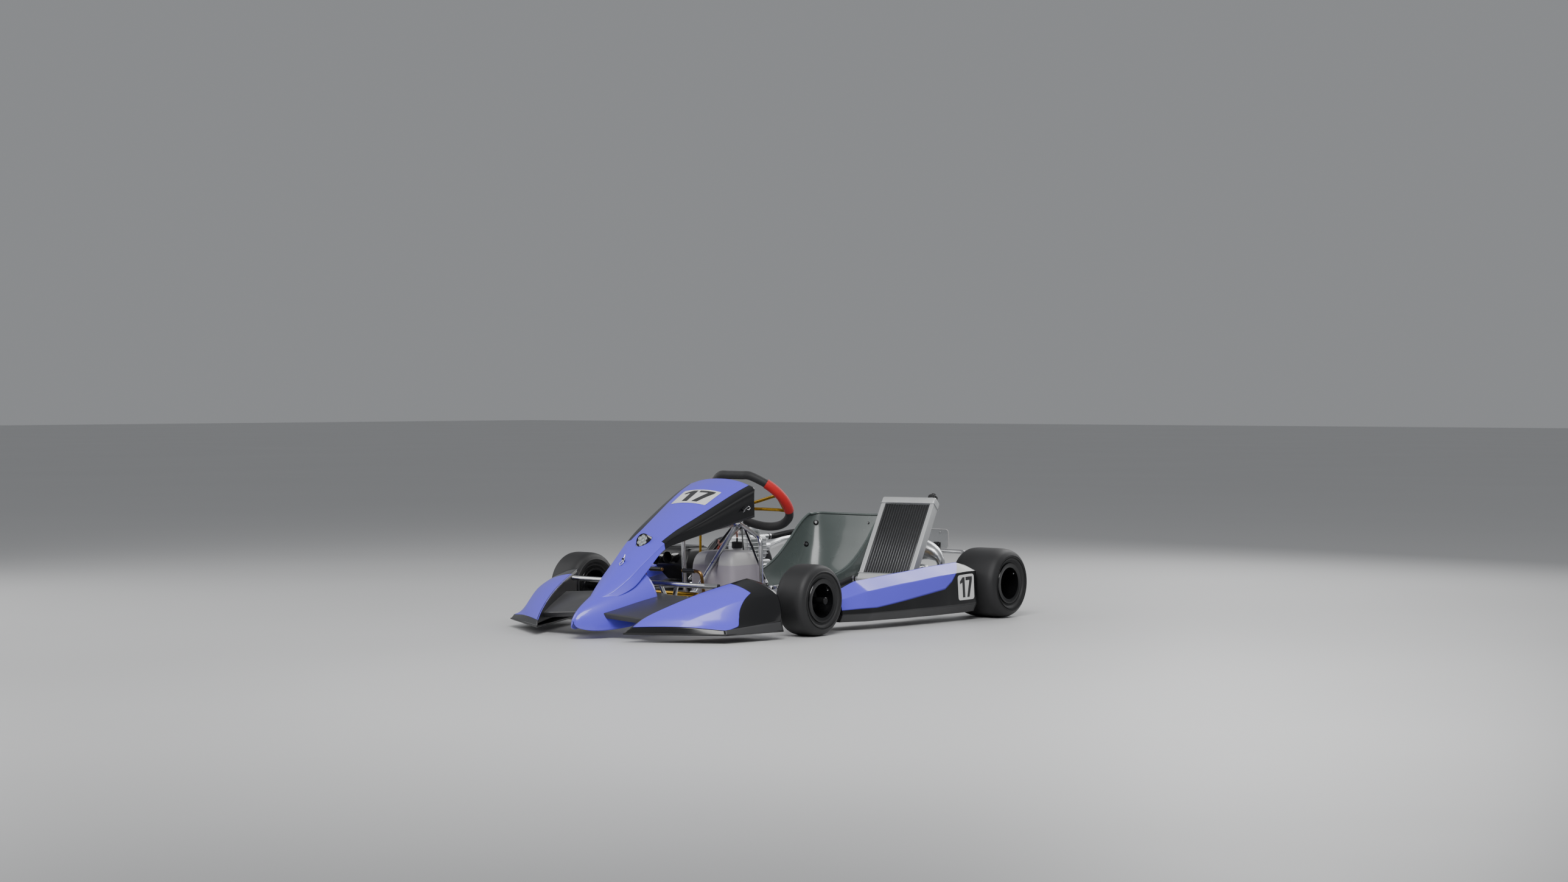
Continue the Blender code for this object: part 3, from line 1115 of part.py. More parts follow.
# ---------------------------------------------------------------- build
frame()
floor_tray()
front_bumper()
front_torsion_bar()
rear_bumper()
front_fairing()
front_panel()
headlight()
seat()
fuel_tank()
fuel_cap()
steering_wheel()
steering_spokes()
steering_column()
steering_support()
for label, side in SIDES:
    side_bar(label, side)
    side_pod(label, side)
    seat_stay(label, side)
    column_stay(label, side)
    spindle(label, side)
    tie_rod(label, side)
    bearing_carrier(label, side)
    wheel_parts("front", label, side, Vector((side * FRONT_WHEEL_X, FRONT_Y, FRONT_AXLE_Z)),
                FRONT_TYRE_RADIUS,
                FRONT_TYRE_WIDTH, SPINDLE_RADIUS + RUN, FRONT_WEB_AT)
    wheel_parts("rear", label, side, Vector((side * REAR_WHEEL_X, REAR_Y, REAR_AXLE_Z)), REAR_TYRE_RADIUS,
                REAR_TYRE_WIDTH, AXLE_RADIUS + GAP, REAR_WEB_AT)
rear_axle()
hubbed_disc("brake_disc", DISC_RADIUS, DISC_HALF, 0.016, DISC_BORE, BRAKE_CENTRE, STEEL)
hubbed_disc("axle_sprocket", SPROCKET_RADIUS, SPROCKET_HALF, 0.014, DISC_BORE, SPROCKET_CENTRE, RAW)
hubbed_disc("engine_sprocket", DRIVE_SPROCKET_RADIUS, SPROCKET_HALF, 0.009, SHAFT_RADIUS + GAP, CRANK, STEEL)
chain()
brake_caliper()
master_cylinder()
pedal("brake_pedal", 1)
pedal("throttle_pedal", -1)
gear_lever()
engine_case()
engine_cylinder()
carburettor()
airbox()
exhaust_pipe()
silencer()
radiator()
radiator_cap()
radiator_bracket()
water_hoses()
fuel_line()
rear_plate()
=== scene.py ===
"""The looks of the racing kart: fine surfaces, paint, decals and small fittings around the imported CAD."""
import json
import math

import bmesh
import bpy
from mathutils import Matrix, Vector


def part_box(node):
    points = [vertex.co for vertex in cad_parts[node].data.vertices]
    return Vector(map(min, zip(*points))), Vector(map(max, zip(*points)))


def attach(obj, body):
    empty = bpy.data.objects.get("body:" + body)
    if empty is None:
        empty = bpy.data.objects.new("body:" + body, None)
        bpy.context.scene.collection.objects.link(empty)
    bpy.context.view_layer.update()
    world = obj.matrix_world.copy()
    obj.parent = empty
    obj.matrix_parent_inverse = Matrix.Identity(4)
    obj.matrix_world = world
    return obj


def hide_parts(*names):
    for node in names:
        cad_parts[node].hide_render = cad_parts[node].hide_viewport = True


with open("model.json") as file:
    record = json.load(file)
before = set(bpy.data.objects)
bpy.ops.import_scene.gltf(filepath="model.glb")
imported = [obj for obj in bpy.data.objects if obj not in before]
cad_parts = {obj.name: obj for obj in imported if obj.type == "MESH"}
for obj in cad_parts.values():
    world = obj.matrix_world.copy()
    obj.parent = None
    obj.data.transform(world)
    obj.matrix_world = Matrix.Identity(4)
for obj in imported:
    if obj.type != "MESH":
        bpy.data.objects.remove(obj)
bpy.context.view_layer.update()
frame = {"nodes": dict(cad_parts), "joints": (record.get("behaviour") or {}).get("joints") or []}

# ---------------------------------------------------------------- places, from the frame
ANCHORS = {joint["name"]: Vector(joint["pos_m"]) for joint in frame["joints"] if "pos_m" in joint}
AXES = {joint["name"]: Vector(joint["axis"]).normalized() for joint in frame["joints"]}
FRONT_AXLE = ANCHORS["front_wheel_left"]
REAR_AXLE = ANCHORS["rear_axle"]
FRONT_Y, REAR_Y = FRONT_AXLE.y, REAR_AXLE.y
SEAT_Y = REAR_Y - 0.515
WAIST_Y = FRONT_Y + 0.315
COLUMN_POINT, COLUMN_AXIS = ANCHORS["steering"], AXES["steering"]
COLUMN_UP = Vector((0, -COLUMN_AXIS.z, COLUMN_AXIS.y))
WHEEL_CENTRE = COLUMN_POINT + COLUMN_AXIS * 0.172
HUB_PLACE = COLUMN_POINT + COLUMN_AXIS * 0.134
BRACKET_AT = COLUMN_POINT + COLUMN_AXIS * 0.048
FRAME_Z, TUBE, BUMPER_TUBE, STAY_TUBE = 0.062, 0.015, 0.0095, 0.007
GAP, HOSE_GAP = 0.0004, 0.0012
HOSE_RADIUS, LINE_RADIUS, AXLE_RADIUS = 0.0115, 0.0036, 0.025
RAIL_REAR_X, RAIL_FRONT_X = 0.300, 0.195
KINGPIN_X = abs(ANCHORS["spindle_left"].x)
SIDES = (("left", 1), ("right", -1))


def front(x, dy, z):
    """A point dy behind the front axle."""
    return Vector((x, FRONT_Y + dy, z))


def rear(x, dy, z):
    """A point dy behind the rear axle."""
    return Vector((x, REAR_Y + dy, z))


# ---------------------------------------------------------------- materials
def surface(name, colour, rough, metal=0.0, grain=60.0, colour_vary=0.12, rough_vary=0.10, bump=0.05,
            stretch=(1, 1, 1), coat=0.0, sheen=0.0, clear=0.0, alpha=1.0):
    """A Principled material whose colour, roughness and relief vary with noise in object space."""
    made = bpy.data.materials.new(name)
    made.use_nodes = True
    nodes, links = made.node_tree.nodes, made.node_tree.links
    shader = nodes["Principled BSDF"]
    shader.inputs["Metallic"].default_value = metal
    shader.inputs["Coat Weight"].default_value = coat
    shader.inputs["Coat Roughness"].default_value = 0.06
    shader.inputs["Sheen Weight"].default_value = sheen
    shader.inputs["Transmission Weight"].default_value = clear
    shader.inputs["Alpha"].default_value = alpha
    place = nodes.new("ShaderNodeTexCoord")
    mapping = nodes.new("ShaderNodeMapping")
    mapping.inputs["Scale"].default_value = stretch
    links.new(place.outputs["Object"], mapping.inputs["Vector"])
    broad, fine = nodes.new("ShaderNodeTexNoise"), nodes.new("ShaderNodeTexNoise")
    for noise, scale in ((broad, grain * 0.12), (fine, grain * 6)):
        noise.inputs["Scale"].default_value = scale
        noise.inputs["Detail"].default_value = 4
        links.new(mapping.outputs["Vector"], noise.inputs["Vector"])
    tint = nodes.new("ShaderNodeMix")
    tint.data_type = "RGBA"
    tint.inputs["A"].default_value = (*[c * (1 - colour_vary) for c in colour], 1)
    tint.inputs["B"].default_value = (*[min(1, c * (1 + colour_vary)) for c in colour], 1)
    links.new(broad.outputs["Fac"], tint.inputs["Factor"])
    links.new(tint.outputs["Result"], shader.inputs["Base Color"])
    spread = nodes.new("ShaderNodeMapRange")
    spread.inputs["To Min"].default_value = max(0.02, rough - rough_vary)
    spread.inputs["To Max"].default_value = min(1.0, rough + rough_vary)
    links.new(broad.outputs["Fac"], spread.inputs["Value"])
    links.new(spread.outputs["Result"], shader.inputs["Roughness"])
    relief = nodes.new("ShaderNodeBump")
    relief.inputs["Strength"].default_value = bump
    relief.inputs["Distance"].default_value = 0.0006
    links.new(fine.outputs["Fac"], relief.inputs["Height"])
    links.new(relief.outputs["Normal"], shader.inputs["Normal"])
    return made


def two_tone(name, colour, other, rough, other_rough):
    """Gloss paint in two colours, parted where the mesh's paint attribute crosses zero."""
    made = surface(name, colour, rough, grain=30, colour_vary=0.03, rough_vary=0.03, bump=0.012, coat=0.35)
    nodes, links = made.node_tree.nodes, made.node_tree.links
    shader = nodes["Principled BSDF"]
    paint = nodes.new("ShaderNodeAttribute")
    paint.attribute_name = "paint"
    edge = nodes.new("ShaderNodeMapRange")
    edge.inputs["From Min"].default_value = -0.004
    edge.inputs["From Max"].default_value = 0.004
    links.new(paint.outputs["Fac"], edge.inputs["Value"])
    mix = nodes.new("ShaderNodeMix")
    mix.data_type = "RGBA"
    mix.inputs["A"].default_value = (*other, 1)
    old_colour = shader.inputs["Base Color"].links[0].from_socket
    links.new(edge.outputs["Result"], mix.inputs["Factor"])
    links.new(old_colour, mix.inputs["B"])
    links.new(mix.outputs["Result"], shader.inputs["Base Color"])
    gloss = nodes.new("ShaderNodeMapRange")
    gloss.inputs["To Min"].default_value = other_rough
    gloss.inputs["To Max"].default_value = rough
    links.new(edge.outputs["Result"], gloss.inputs["Value"])
    links.new(gloss.outputs["Result"], shader.inputs["Roughness"])
    return made


def dotted(name, colour, scale):
    """Perforated leather: small dark dimples in a regular pattern."""
    made = surface(name, colour, 0.62, grain=80, bump=0.1, sheen=0.15)
    nodes, links = made.node_tree.nodes, made.node_tree.links
    cells = nodes.new("ShaderNodeTexVoronoi")
    cells.inputs["Scale"].default_value = scale
    cells.inputs["Randomness"].default_value = 0.25
    place = next(n for n in nodes if n.type == "TEX_COORD")
    links.new(place.outputs["Object"], cells.inputs["Vector"])
    dimple = nodes.new("ShaderNodeMapRange")
    dimple.inputs["From Min"].default_value = 0.22
    dimple.inputs["From Max"].default_value = 0.34
    links.new(cells.outputs["Distance"], dimple.inputs["Value"])
    relief = nodes.new("ShaderNodeBump")
    relief.inputs["Strength"].default_value = 0.6
    relief.inputs["Distance"].default_value = 0.0008
    links.new(dimple.outputs["Result"], relief.inputs["Height"])
    links.new(relief.outputs["Normal"], nodes["Principled BSDF"].inputs["Normal"])
    return made


BLUE_RGB, BLACK_RGB = (0.125, 0.098, 0.84), (0.006, 0.006, 0.007)
PAINT = two_tone("bodywork_paint", BLUE_RGB, BLACK_RGB, 0.30, 0.20)
BLUE = surface("blue_gloss", BLUE_RGB, 0.30, grain=30, colour_vary=0.03, rough_vary=0.03, bump=0.012,
    coat=0.6)
GLOSS = surface("black_gloss", BLACK_RGB, 0.16, grain=30, rough_vary=0.04, bump=0.015, coat=0.3)
SATIN = surface("black_satin", (0.013, 0.013, 0.014), 0.40, grain=90, bump=0.08)
STRIP = surface("grey_strip", (0.048, 0.048, 0.050), 0.36, grain=90, bump=0.06)
CHROME = surface("plated_tube", (0.66, 0.66, 0.67), 0.20, 1.0, grain=40, colour_vary=0.06, rough_vary=0.08,
    bump=0.03)
RAW = surface("cast_aluminium", (0.58, 0.59, 0.60), 0.40, 1.0, grain=160, colour_vary=0.10,
    rough_vary=0.12, bump=0.30)
BRUSHED = surface("brushed_aluminium", (0.66, 0.67, 0.68), 0.30, 1.0, grain=90, stretch=(1, 1, 12),
    bump=0.12)
STEEL = surface("machined_steel", (0.42, 0.42, 0.43), 0.28, 1.0, grain=90, stretch=(8, 1, 1), bump=0.10)
GOLD = surface("gold_anodised", (0.52, 0.30, 0.035), 0.26, 1.0, grain=70, rough_vary=0.08, bump=0.04)
RUBBER = surface("tyre_rubber", (0.017, 0.017, 0.018), 0.58, grain=120, colour_vary=0.30, rough_vary=0.12,
    bump=0.22)
RIM = surface("rim_black", (0.010, 0.010, 0.011), 0.24, 0.5, grain=80, bump=0.05, coat=0.3)
FIBRE = surface("seat_glassfibre", (0.092, 0.113, 0.107), 0.27, grain=70, colour_vary=0.14, bump=0.05,
    coat=0.35)
# Milky tank plastic; the same pale colour is a painted highlight along the clear rear plate's edge.
MILKY_AND_EDGE_HIGHLIGHT = surface("tank_milky_and_edge_highlight", (0.46, 0.45, 0.45), 0.42, grain=50, colour_vary=0.06, bump=0.05)
FUEL = surface("tank_fuel_level", (0.36, 0.33, 0.37), 0.42, grain=50, colour_vary=0.06, bump=0.05)
HOSE = surface("hose_rubber", (0.014, 0.014, 0.015), 0.42, grain=140, bump=0.10)
COPPER = surface("fuel_hose", (0.50, 0.21, 0.15), 0.30, grain=60, bump=0.04, coat=0.3)
SUEDE = dotted("grip_black", (0.016, 0.016, 0.017), 420)
RED = dotted("grip_red", (0.55, 0.004, 0.004), 420)
WHITE = surface("plate_white", (0.78, 0.78, 0.77), 0.35, grain=60, colour_vary=0.03, bump=0.02, coat=0.3)
DIGIT = surface("digit_grey", (0.030, 0.030, 0.032), 0.35, grain=60, bump=0.02, coat=0.3)
# Black of the radiator core; the same black is painted shade in the disc holes and the airbox trumpets.
CORE_AND_OPENING_SHADE = surface("radiator_core_and_opening_shade", (0.014, 0.014, 0.015), 0.45, grain=300, bump=0.25)
GLASS = surface("lamp_glass", (0.30, 0.36, 0.38), 0.08, grain=80, bump=0.02, coat=0.8)
CLEAR = surface("clear_plate", (0.30, 0.31, 0.32), 0.12, grain=40, bump=0.02, clear=0.5, alpha=0.45)
BLACK_METAL = surface("black_metal", (0.020, 0.020, 0.021), 0.32, 0.7, grain=90, bump=0.06)
BRONZE = surface("bronze_anodised", (0.34, 0.20, 0.075), 0.34, 1.0, grain=70, rough_vary=0.08, bump=0.05)
BARS = surface("radiator_bar", (0.30, 0.31, 0.32), 0.35, 0.9, grain=90, bump=0.05)
SILVER = surface("satin_silver", (0.60, 0.61, 0.61), 0.40, 0.45, grain=90, bump=0.05)
SIGNAL = surface("red_plastic", (0.50, 0.02, 0.01), 0.3, grain=80, bump=0.03)


# ---------------------------------------------------------------- helpers
def settle(obj, finish, body, replaces=()):
    """Gives a piece its material and body, and hides the CAD nodes it stands for."""
    if not obj.data.materials:
        obj.data.materials.append(finish)
    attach(obj, body)
    if replaces:
        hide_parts(*replaces)
    return obj


def from_bmesh(name, bm, finish, body="chassis", replaces=(), angle=35):
    """Turns a bmesh into a smooth-shaded piece, sharp above angle degrees."""
    mesh = bpy.data.meshes.new(name)
    bmesh.ops.recalc_face_normals(bm, faces=bm.faces)
    bm.to_mesh(mesh)
    bm.free()
    mesh.shade_smooth()
    mesh.set_sharp_from_angle(angle=math.radians(angle))
    obj = bpy.data.objects.new(name, mesh)
    bpy.context.scene.collection.objects.link(obj)
    return settle(obj, finish, body, replaces)


def turn_to(axis):
    """The turn that takes +Z to axis."""
    return Vector((0, 0, 1)).rotation_difference(Vector(axis)).to_matrix().to_4x4()


def bevelled(obj, width, segments=2, angle=40):
    """Rounds the edges that are sharper than angle degrees."""
    modifier = obj.modifiers.new("edges", "BEVEL")
    modifier.width = width
    modifier.segments = segments
    modifier.limit_method = "ANGLE"
    modifier.angle_limit = math.radians(angle)
    return obj


def closed_body(bm, rings):
    """Faces from each ring of vertices to the next, and one over each end."""
    for a, b in zip(rings, rings[1:]):
        for i in range(len(a)):
            j = (i + 1) % len(a)
            bm.faces.new((a[i], a[j], b[j], b[i]))
    bm.faces.new(rings[0][::-1])
    bm.faces.new(rings[-1])


def lathe(name, profile, centre, axis, finish, body="chassis", replaces=(), steps=72, closed=True,
        angle=35):
    """profile holds (radius, place along axis). A closed one makes a ring."""
    bm = bmesh.new()
    spin = Matrix.Translation(centre) @ turn_to(axis)
    rings = []
    for i in range(steps):
        a = 2 * math.pi * i / steps
        rings.append([bm.verts.new(spin @ Vector((r * math.cos(a), r * math.sin(a), t)))
                for r, t in profile])
    count = len(profile) if closed else len(profile) - 1
    for a, b in zip(rings, rings[1:] + rings[:1]):
        for i in range(count):
            j = (i + 1) % len(profile)
            bm.faces.new((a[i], a[j], b[j], b[i]))
    if not closed:
        for end in (0, -1):
            if profile[end][0] > 0:
                bm.faces.new([ring[end] for ring in rings])
    return from_bmesh(name, bm, finish, body, replaces, angle)


def rounded(profile, amount=0.35, passes=2):
    """Corner cutting on a closed profile, for round edges."""
    points = [Vector(p) for p in profile]
    for _ in range(passes):
        points = [q for a, b in zip(points, points[1:] + points[:1])
                  for q in (a.lerp(b, amount / 2), a.lerp(b, 1 - amount / 2))]
    return [tuple(p) for p in points]


def rod(name, radius, start, end, finish, body="chassis", replaces=(), steps=28, edge=0.0008):
    """A round bar with chamfered ends."""
    start, end = Vector(start), Vector(end)
    length = (end - start).length
    edge = min(edge, length * 0.3, radius * 0.3)
    profile = [(0, 0), (radius - edge, 0), (radius, edge), (radius, length - edge), (radius - edge, length),
               (0, length)]
    bm = bmesh.new()
    spin = Matrix.Translation(start) @ turn_to(end - start)
    low, high = bm.verts.new(spin @ Vector((0, 0, 0))), bm.verts.new(spin @ Vector((0, 0, length)))
    rings = []
    for i in range(steps):
        a = 2 * math.pi * i / steps
        rings.append([bm.verts.new(spin @ Vector((r * math.cos(a), r * math.sin(a), t)))
                for r, t in profile[1:-1]])
    for a, b in zip(rings, rings[1:] + rings[:1]):
        bm.faces.new((low, b[0], a[0]))
        bm.faces.new((high, a[-1], b[-1]))
        for i in range(3):
            bm.faces.new((a[i], b[i], b[i + 1], a[i + 1]))
    return from_bmesh(name, bm, finish, body, replaces)


def block(name, size, centre, finish, body="chassis", replaces=(), turn=None, edge=0.003, segments=3):
    """A box with rounded edges."""
    bm = bmesh.new()
    bmesh.ops.create_cube(bm, size=1)
    bmesh.ops.scale(bm, vec=size, verts=bm.verts)
    bmesh.ops.bevel(bm, geom=bm.edges[:], offset=min(edge, min(size) * 0.45), segments=segments,
        profile=0.5, affect="EDGES")
    bmesh.ops.transform(bm, matrix=Matrix.Translation(centre) @ (turn or Matrix.Identity(4)),
        verts=bm.verts)
    return from_bmesh(name, bm, finish, body, replaces, 50)


def hull(name, points, finish, body="chassis", replaces=(), edge=0.004, segments=3):
    """The convex body around points, with rounded edges."""
    bm = bmesh.new()
    for p in points:
        bm.verts.new(p)
    made = bmesh.ops.convex_hull(bm, input=bm.verts)
    bmesh.ops.delete(bm, geom=[v for v in made["geom_interior"] if isinstance(v, bmesh.types.BMVert)],
                     context="VERTS")
    bmesh.ops.dissolve_limit(bm, angle_limit=math.radians(2), verts=bm.verts, edges=bm.edges)
    if edge:
        bmesh.ops.bevel(bm, geom=bm.edges[:], offset=edge, segments=segments, profile=0.5, affect="EDGES")
    return from_bmesh(name, bm, finish, body, replaces, 50)


def bent(points, radius, steps=8):
    """A path with its corners rounded."""
    points = [Vector(p) for p in points]
    out = [points[0]]
    for before, corner, after in zip(points, points[1:], points[2:]):
        into, away = (before - corner), (after - corner)
        half = into.angle(away) / 2
        back = min(radius / math.tan(half), 0.45 * into.length, 0.45 * away.length)
        a, b = corner + into.normalized() * back, corner + away.normalized() * back
        for i in range(steps + 1):
            t = i / steps
            out.append(a * (1 - t) ** 2 + corner * 2 * t * (1 - t) + b * t * t)
    return [*out, points[-1]]


def smooth(points, per_span=8):
    """A path that runs smoothly through points."""
    points = [Vector(p) for p in points]
    ends = [2 * points[0] - points[1], *points, 2 * points[-1] - points[-2]]
    out = []
    for a, b, c, d in zip(ends, ends[1:], ends[2:], ends[3:]):
        for i in range(per_span):
            t = i / per_span
            out.append(0.5 * (2 * b + (c - a) * t + (2 * a - 5 * b + 4 * c - d) * t ** 2
                              + (3 * b - a - 3 * c + d) * t ** 3))
    return [*out, points[-1]]


def between(table, s):
    """Linear reading of a table of (place, value)."""
    if s <= table[0][0]:
        return table[0][1]
    for (a, va), (b, vb) in zip(table, table[1:]):
        if s <= b:
            t = (s - a) / (b - a)
            return va * (1 - t) + vb * t
    return table[-1][1]


def curve_at(points, s):
    """A point on the smooth curve through points, s from 0 to 1."""
    places = s * (len(points) - 1)
    i = min(int(places), len(points) - 2)
    t = places - i
    a = points[i - 1] if i else 2 * points[0] - points[1]
    b, c = points[i], points[i + 1]
    d = points[i + 2] if i + 2 < len(points) else 2 * points[-1] - points[-2]
    return 0.5 * (2 * b + (c - a) * t + (2 * a - 5 * b + 4 * c - d) * t ** 2 + (3 * b - a - 3 * c + d)
            * t ** 3)


def tube(name, points, radius, finish, body="chassis", replaces=(), sides=6, radii=None, closed=False):
    """A round tube along points. radii scales it along its length."""
    curve = bpy.data.curves.new(name, "CURVE")
    curve.dimensions = "3D"
    curve.bevel_depth = radius
    curve.bevel_resolution = sides
    curve.use_fill_caps = not closed
    spline = curve.splines.new("POLY")
    spline.points.add(len(points) - 1)
    for i, (target, place) in enumerate(zip(spline.points, points)):
        target.co = (*place, 1)
        target.radius = radii[i] if radii else 1.0
    spline.use_cyclic_u = closed
    spline.use_smooth = True
    obj = bpy.data.objects.new(name, curve)
    bpy.context.scene.collection.objects.link(obj)
    return settle(obj, finish, body, replaces)


def sided(points, side):
    """The points on the left for side 1, mirrored to the right for side -1."""
    return [Vector((side * p[0], p[1], p[2])) for p in points]


def grid(name, at, across, along, finish, body="chassis", replaces=(), wall=0.003, paint=None, side=1,
        angle=50):
    """A shell over at(s, v), s along and v across from 0 to 1. paint(s, v) parts the two colours."""
    bm = bmesh.new()
    layer = bm.verts.layers.float.new("paint")
    rows = []
    for i in range(along + 1):
        row = []
        for j in range(across + 1):
            s, v = i / along, j / across
            vert = bm.verts.new(at(s, v))
            vert[layer] = paint(s, v) if paint else 1.0
            row.append(vert)
        rows.append(row)
    for a, b in zip(rows, rows[1:]):
        for j in range(across):
            order = (a[j], a[j + 1], b[j + 1], b[j])
            bm.faces.new(order if side > 0 else order[::-1])
    mesh = bpy.data.meshes.new(name)
    bm.to_mesh(mesh)
    bm.free()
    mesh.shade_smooth()
    mesh.set_sharp_from_angle(angle=math.radians(angle))
    obj = bpy.data.objects.new(name, mesh)
    bpy.context.scene.collection.objects.link(obj)
    if wall:
        modifier = obj.modifiers.new("wall", "SOLIDIFY")
        modifier.thickness = wall
        modifier.offset = -1
    return settle(obj, finish, body, replaces)


def decal(name, outline, at, finish, body, lift):
    """A thin sheet on the surface at(a, b), inside a 2D outline, lifted off it by lift metres."""
    bm = bmesh.new()
    face = bm.faces.new([bm.verts.new((a, b, 0)) for a, b in outline])
    bmesh.ops.triangulate(bm, faces=[face])
    bmesh.ops.subdivide_edges(bm, edges=bm.edges[:], cuts=5, use_grid_fill=True)
    bmesh.ops.triangulate(bm, faces=bm.faces[:])
    step = 0.004
    for vert in bm.verts:
        a, b = vert.co.x, vert.co.y
        here = at(a, b)
        normal = (at(a + step, b) - here).cross(at(a, b + step) - here).normalized()
        vert.co = here + normal * lift
    return from_bmesh(name, bm, finish, body)


def round_plate(a, b, corner, steps=6):
    """A rounded rectangle of half sizes a and b."""
    out = []
    for cx, cy, start in ((a - corner, b - corner, 0), (-a + corner, b - corner, 90),
                          (-a + corner, -b + corner, 180), (a - corner, -b + corner, 270)):
        for i in range(steps + 1):
            t = math.radians(start + 90 * i / steps)
            out.append((cx + corner * math.cos(t), cy + corner * math.sin(t)))
    return out


ONE = ((-0.95, 0.62), (-0.55, 1.0), (-0.20, 1.0), (-0.20, -1.0), (-0.58, -1.0), (-0.58, 0.50),
    (-0.95, 0.34))
SEVEN = ((-0.05, 1.0), (0.98, 1.0), (0.98, 0.70), (0.50, -1.0), (0.10, -1.0), (0.56, 0.66), (-0.05, 0.66))


def race_number(name, at, half_wide, half_high, body="chassis", corner=0.22):
    """A white plate with the race number on it, on the surface at(a, b), where a runs right and b up."""
    decal(f"{name}_plate", round_plate(half_wide, half_high, min(half_wide, half_high) * corner), at,
        WHITE, body, 0.0010)
    wide, high = half_wide * 0.80, half_high * 0.80
    for label, shape in (("one", ONE), ("seven", SEVEN)):
        decal(f"{name}_{label}", [(x * wide, y * high) for x, y in shape], at, DIGIT, body, 0.0016)


def bolt(name, centre, axis, radius, body="chassis", finish=None):
    """A cap screw with a round socket, its head standing out along axis."""
    r = radius
    profile = [(0, 0), (r, 0), (r, r * 0.9), (r * 0.85, r * 1.1), (r * 0.5, r * 1.1), (r * 0.45, r * 0.5),
        (0, r * 0.5)]
    return lathe(name, profile[1:-1], Vector(centre), axis, finish or STEEL, body, steps=18, closed=True)


# ---------------------------------------------------------------- tyres, rims
def wheel(end, label, side):
    """One tyre with its rim, hub, nuts and valve."""
    centre = Vector(FRONT_AXLE if end == "front" else (REAR_AXLE.x, REAR_Y, REAR_AXLE.z))
    low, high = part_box(f"{end}_tyre_{label}")
    centre.x = (low.x + high.x) / 2
    width, radius = high.x - low.x, centre.z - low.z
    body = "rear_axle" if end == "rear" else f"front_wheel_{label}"
    h, lip, bead = width / 2, 0.0785, 0.0660
    side_wall = [(radius, h * 0.30), (radius - 0.0004, h * 0.52), (radius - 0.003, h * 0.74),
        (radius - 0.011, h * 0.90), (radius - 0.024, h * 0.98), ((radius + lip) / 2, h),
        (lip + 0.012, h * 0.95), (lip + 0.0085, h * 0.885), (lip + 0.004, h * 0.868), (bead, h * 0.862),
        (bead, h * 0.74), (radius - 0.030, h * 0.84), (radius - 0.010, h * 0.52)]
    profile = side_wall + [(r, -t) for r, t in reversed(side_wall)]
    axis = Vector((side, 0, 0))
    tyre = lathe(f"{end}_tyre_{label}_fine", rounded(profile, 0.4, 1), centre, axis, RUBBER, body,
                 (f"{end}_tyre_{label}",), steps=96, angle=60)
    for i, ring in enumerate((lip + 0.019, radius - 0.028)):
        bead_line = [(ring - 0.0009, h * 0.972), (ring, h * 1.006), (ring + 0.0009, h * 0.972),
            (ring, h * 0.95)]
        lathe(f"{end}_tyre_{label}_line_{i + 1}", bead_line, centre, axis, RUBBER, body, steps=96, angle=60)
    web = -0.008 if end == "front" else 0.0
    r, w, seat, floor, well = 0.0655, 0.0045, h * 0.86 + 0.0004, 0.0535, h * 0.25
    barrel = [(floor, well), (r, h * 0.60), (r, seat), (lip, seat), (lip + 0.0004, seat + 0.003),
        (lip - 0.001, seat + 0.0052), (r + 0.004, seat + 0.0052), (r - w, seat + 0.0035),
        (r - w - 0.001, h * 0.58), (floor - w, well + 0.002)]
    middle = [(floor - w, web + 0.0055), (0.040, web + 0.0045), (0.034, web + 0.006), (0.034, web - 0.006),
        (0.040, web - 0.0045), (floor - w, web - 0.0055)]
    profile = barrel + middle + [(a, -t) for a, t in reversed(barrel)]
    rim = lathe(f"{end}_rim_{label}_fine", profile, centre, axis, RIM, body, (f"{end}_rim_{label}",),
        steps=96, angle=40)
    bore = 0.0133 if end == "front" else AXLE_RADIUS + GAP
    hub = [(bore, web - 0.030), (0.033, web - 0.030), (0.036, web - 0.027), (0.036, web + 0.015),
        (0.033, web + 0.018), (bore, web + 0.018)]
    lathe(f"{end}_hub_{label}", hub, centre, axis, BLACK_METAL, body, steps=64)
    for i in range(6):
        a = math.radians(60 * i + 15)
        at = centre + axis * (web + 0.0055) + Vector((0, math.cos(a), math.sin(a))) * 0.0435
        bolt(f"{end}_rim_{label}_nut_{i + 1}", at, axis, 0.0042, body, BLACK_METAL)
    valve = centre + axis * (seat - 0.012) + Vector((0, 0.70, 0.71)) * 0.0605
    rod(f"{end}_valve_{label}", 0.0024, valve, valve + axis * 0.012 - Vector((0, 0.70, 0.71)) * 0.012,
        STEEL, body, steps=12)
    return tyre, rim


for label, side in SIDES:
    wheel("front", label, side)
    wheel("rear", label, side)

# ---------------------------------------------------------------- front panel
# y from the front axle, height of the crown, x and z of the ridge, x and z of the lower edge
PANEL = ((-0.540, 0.138, 0.016, 0.134, 0.020, 0.129), (-0.485, 0.178, 0.045, 0.160, 0.055, 0.140),
         (-0.415, 0.229, 0.064, 0.208, 0.082, 0.172), (-0.351, 0.276, 0.072, 0.256, 0.086, 0.222),
         (-0.265, 0.330, 0.087, 0.318, 0.094, 0.298), (-0.185, 0.372, 0.108, 0.360, 0.113, 0.326),
         (-0.085, 0.425, 0.131, 0.405, 0.134, 0.351), (0.015, 0.479, 0.148, 0.452, 0.151, 0.374),
         (0.095, 0.519, 0.159, 0.488, 0.162, 0.391), (0.160, 0.544, 0.166, 0.513, 0.169, 0.404))
LAMP_Z, LAMP_RADIUS = 0.328, 0.0265
LAMP_WAY = Vector((0, -math.cos(math.radians(22)), math.sin(math.radians(22))))
LAMP_PLACE = front(0, -0.266, LAMP_Z)


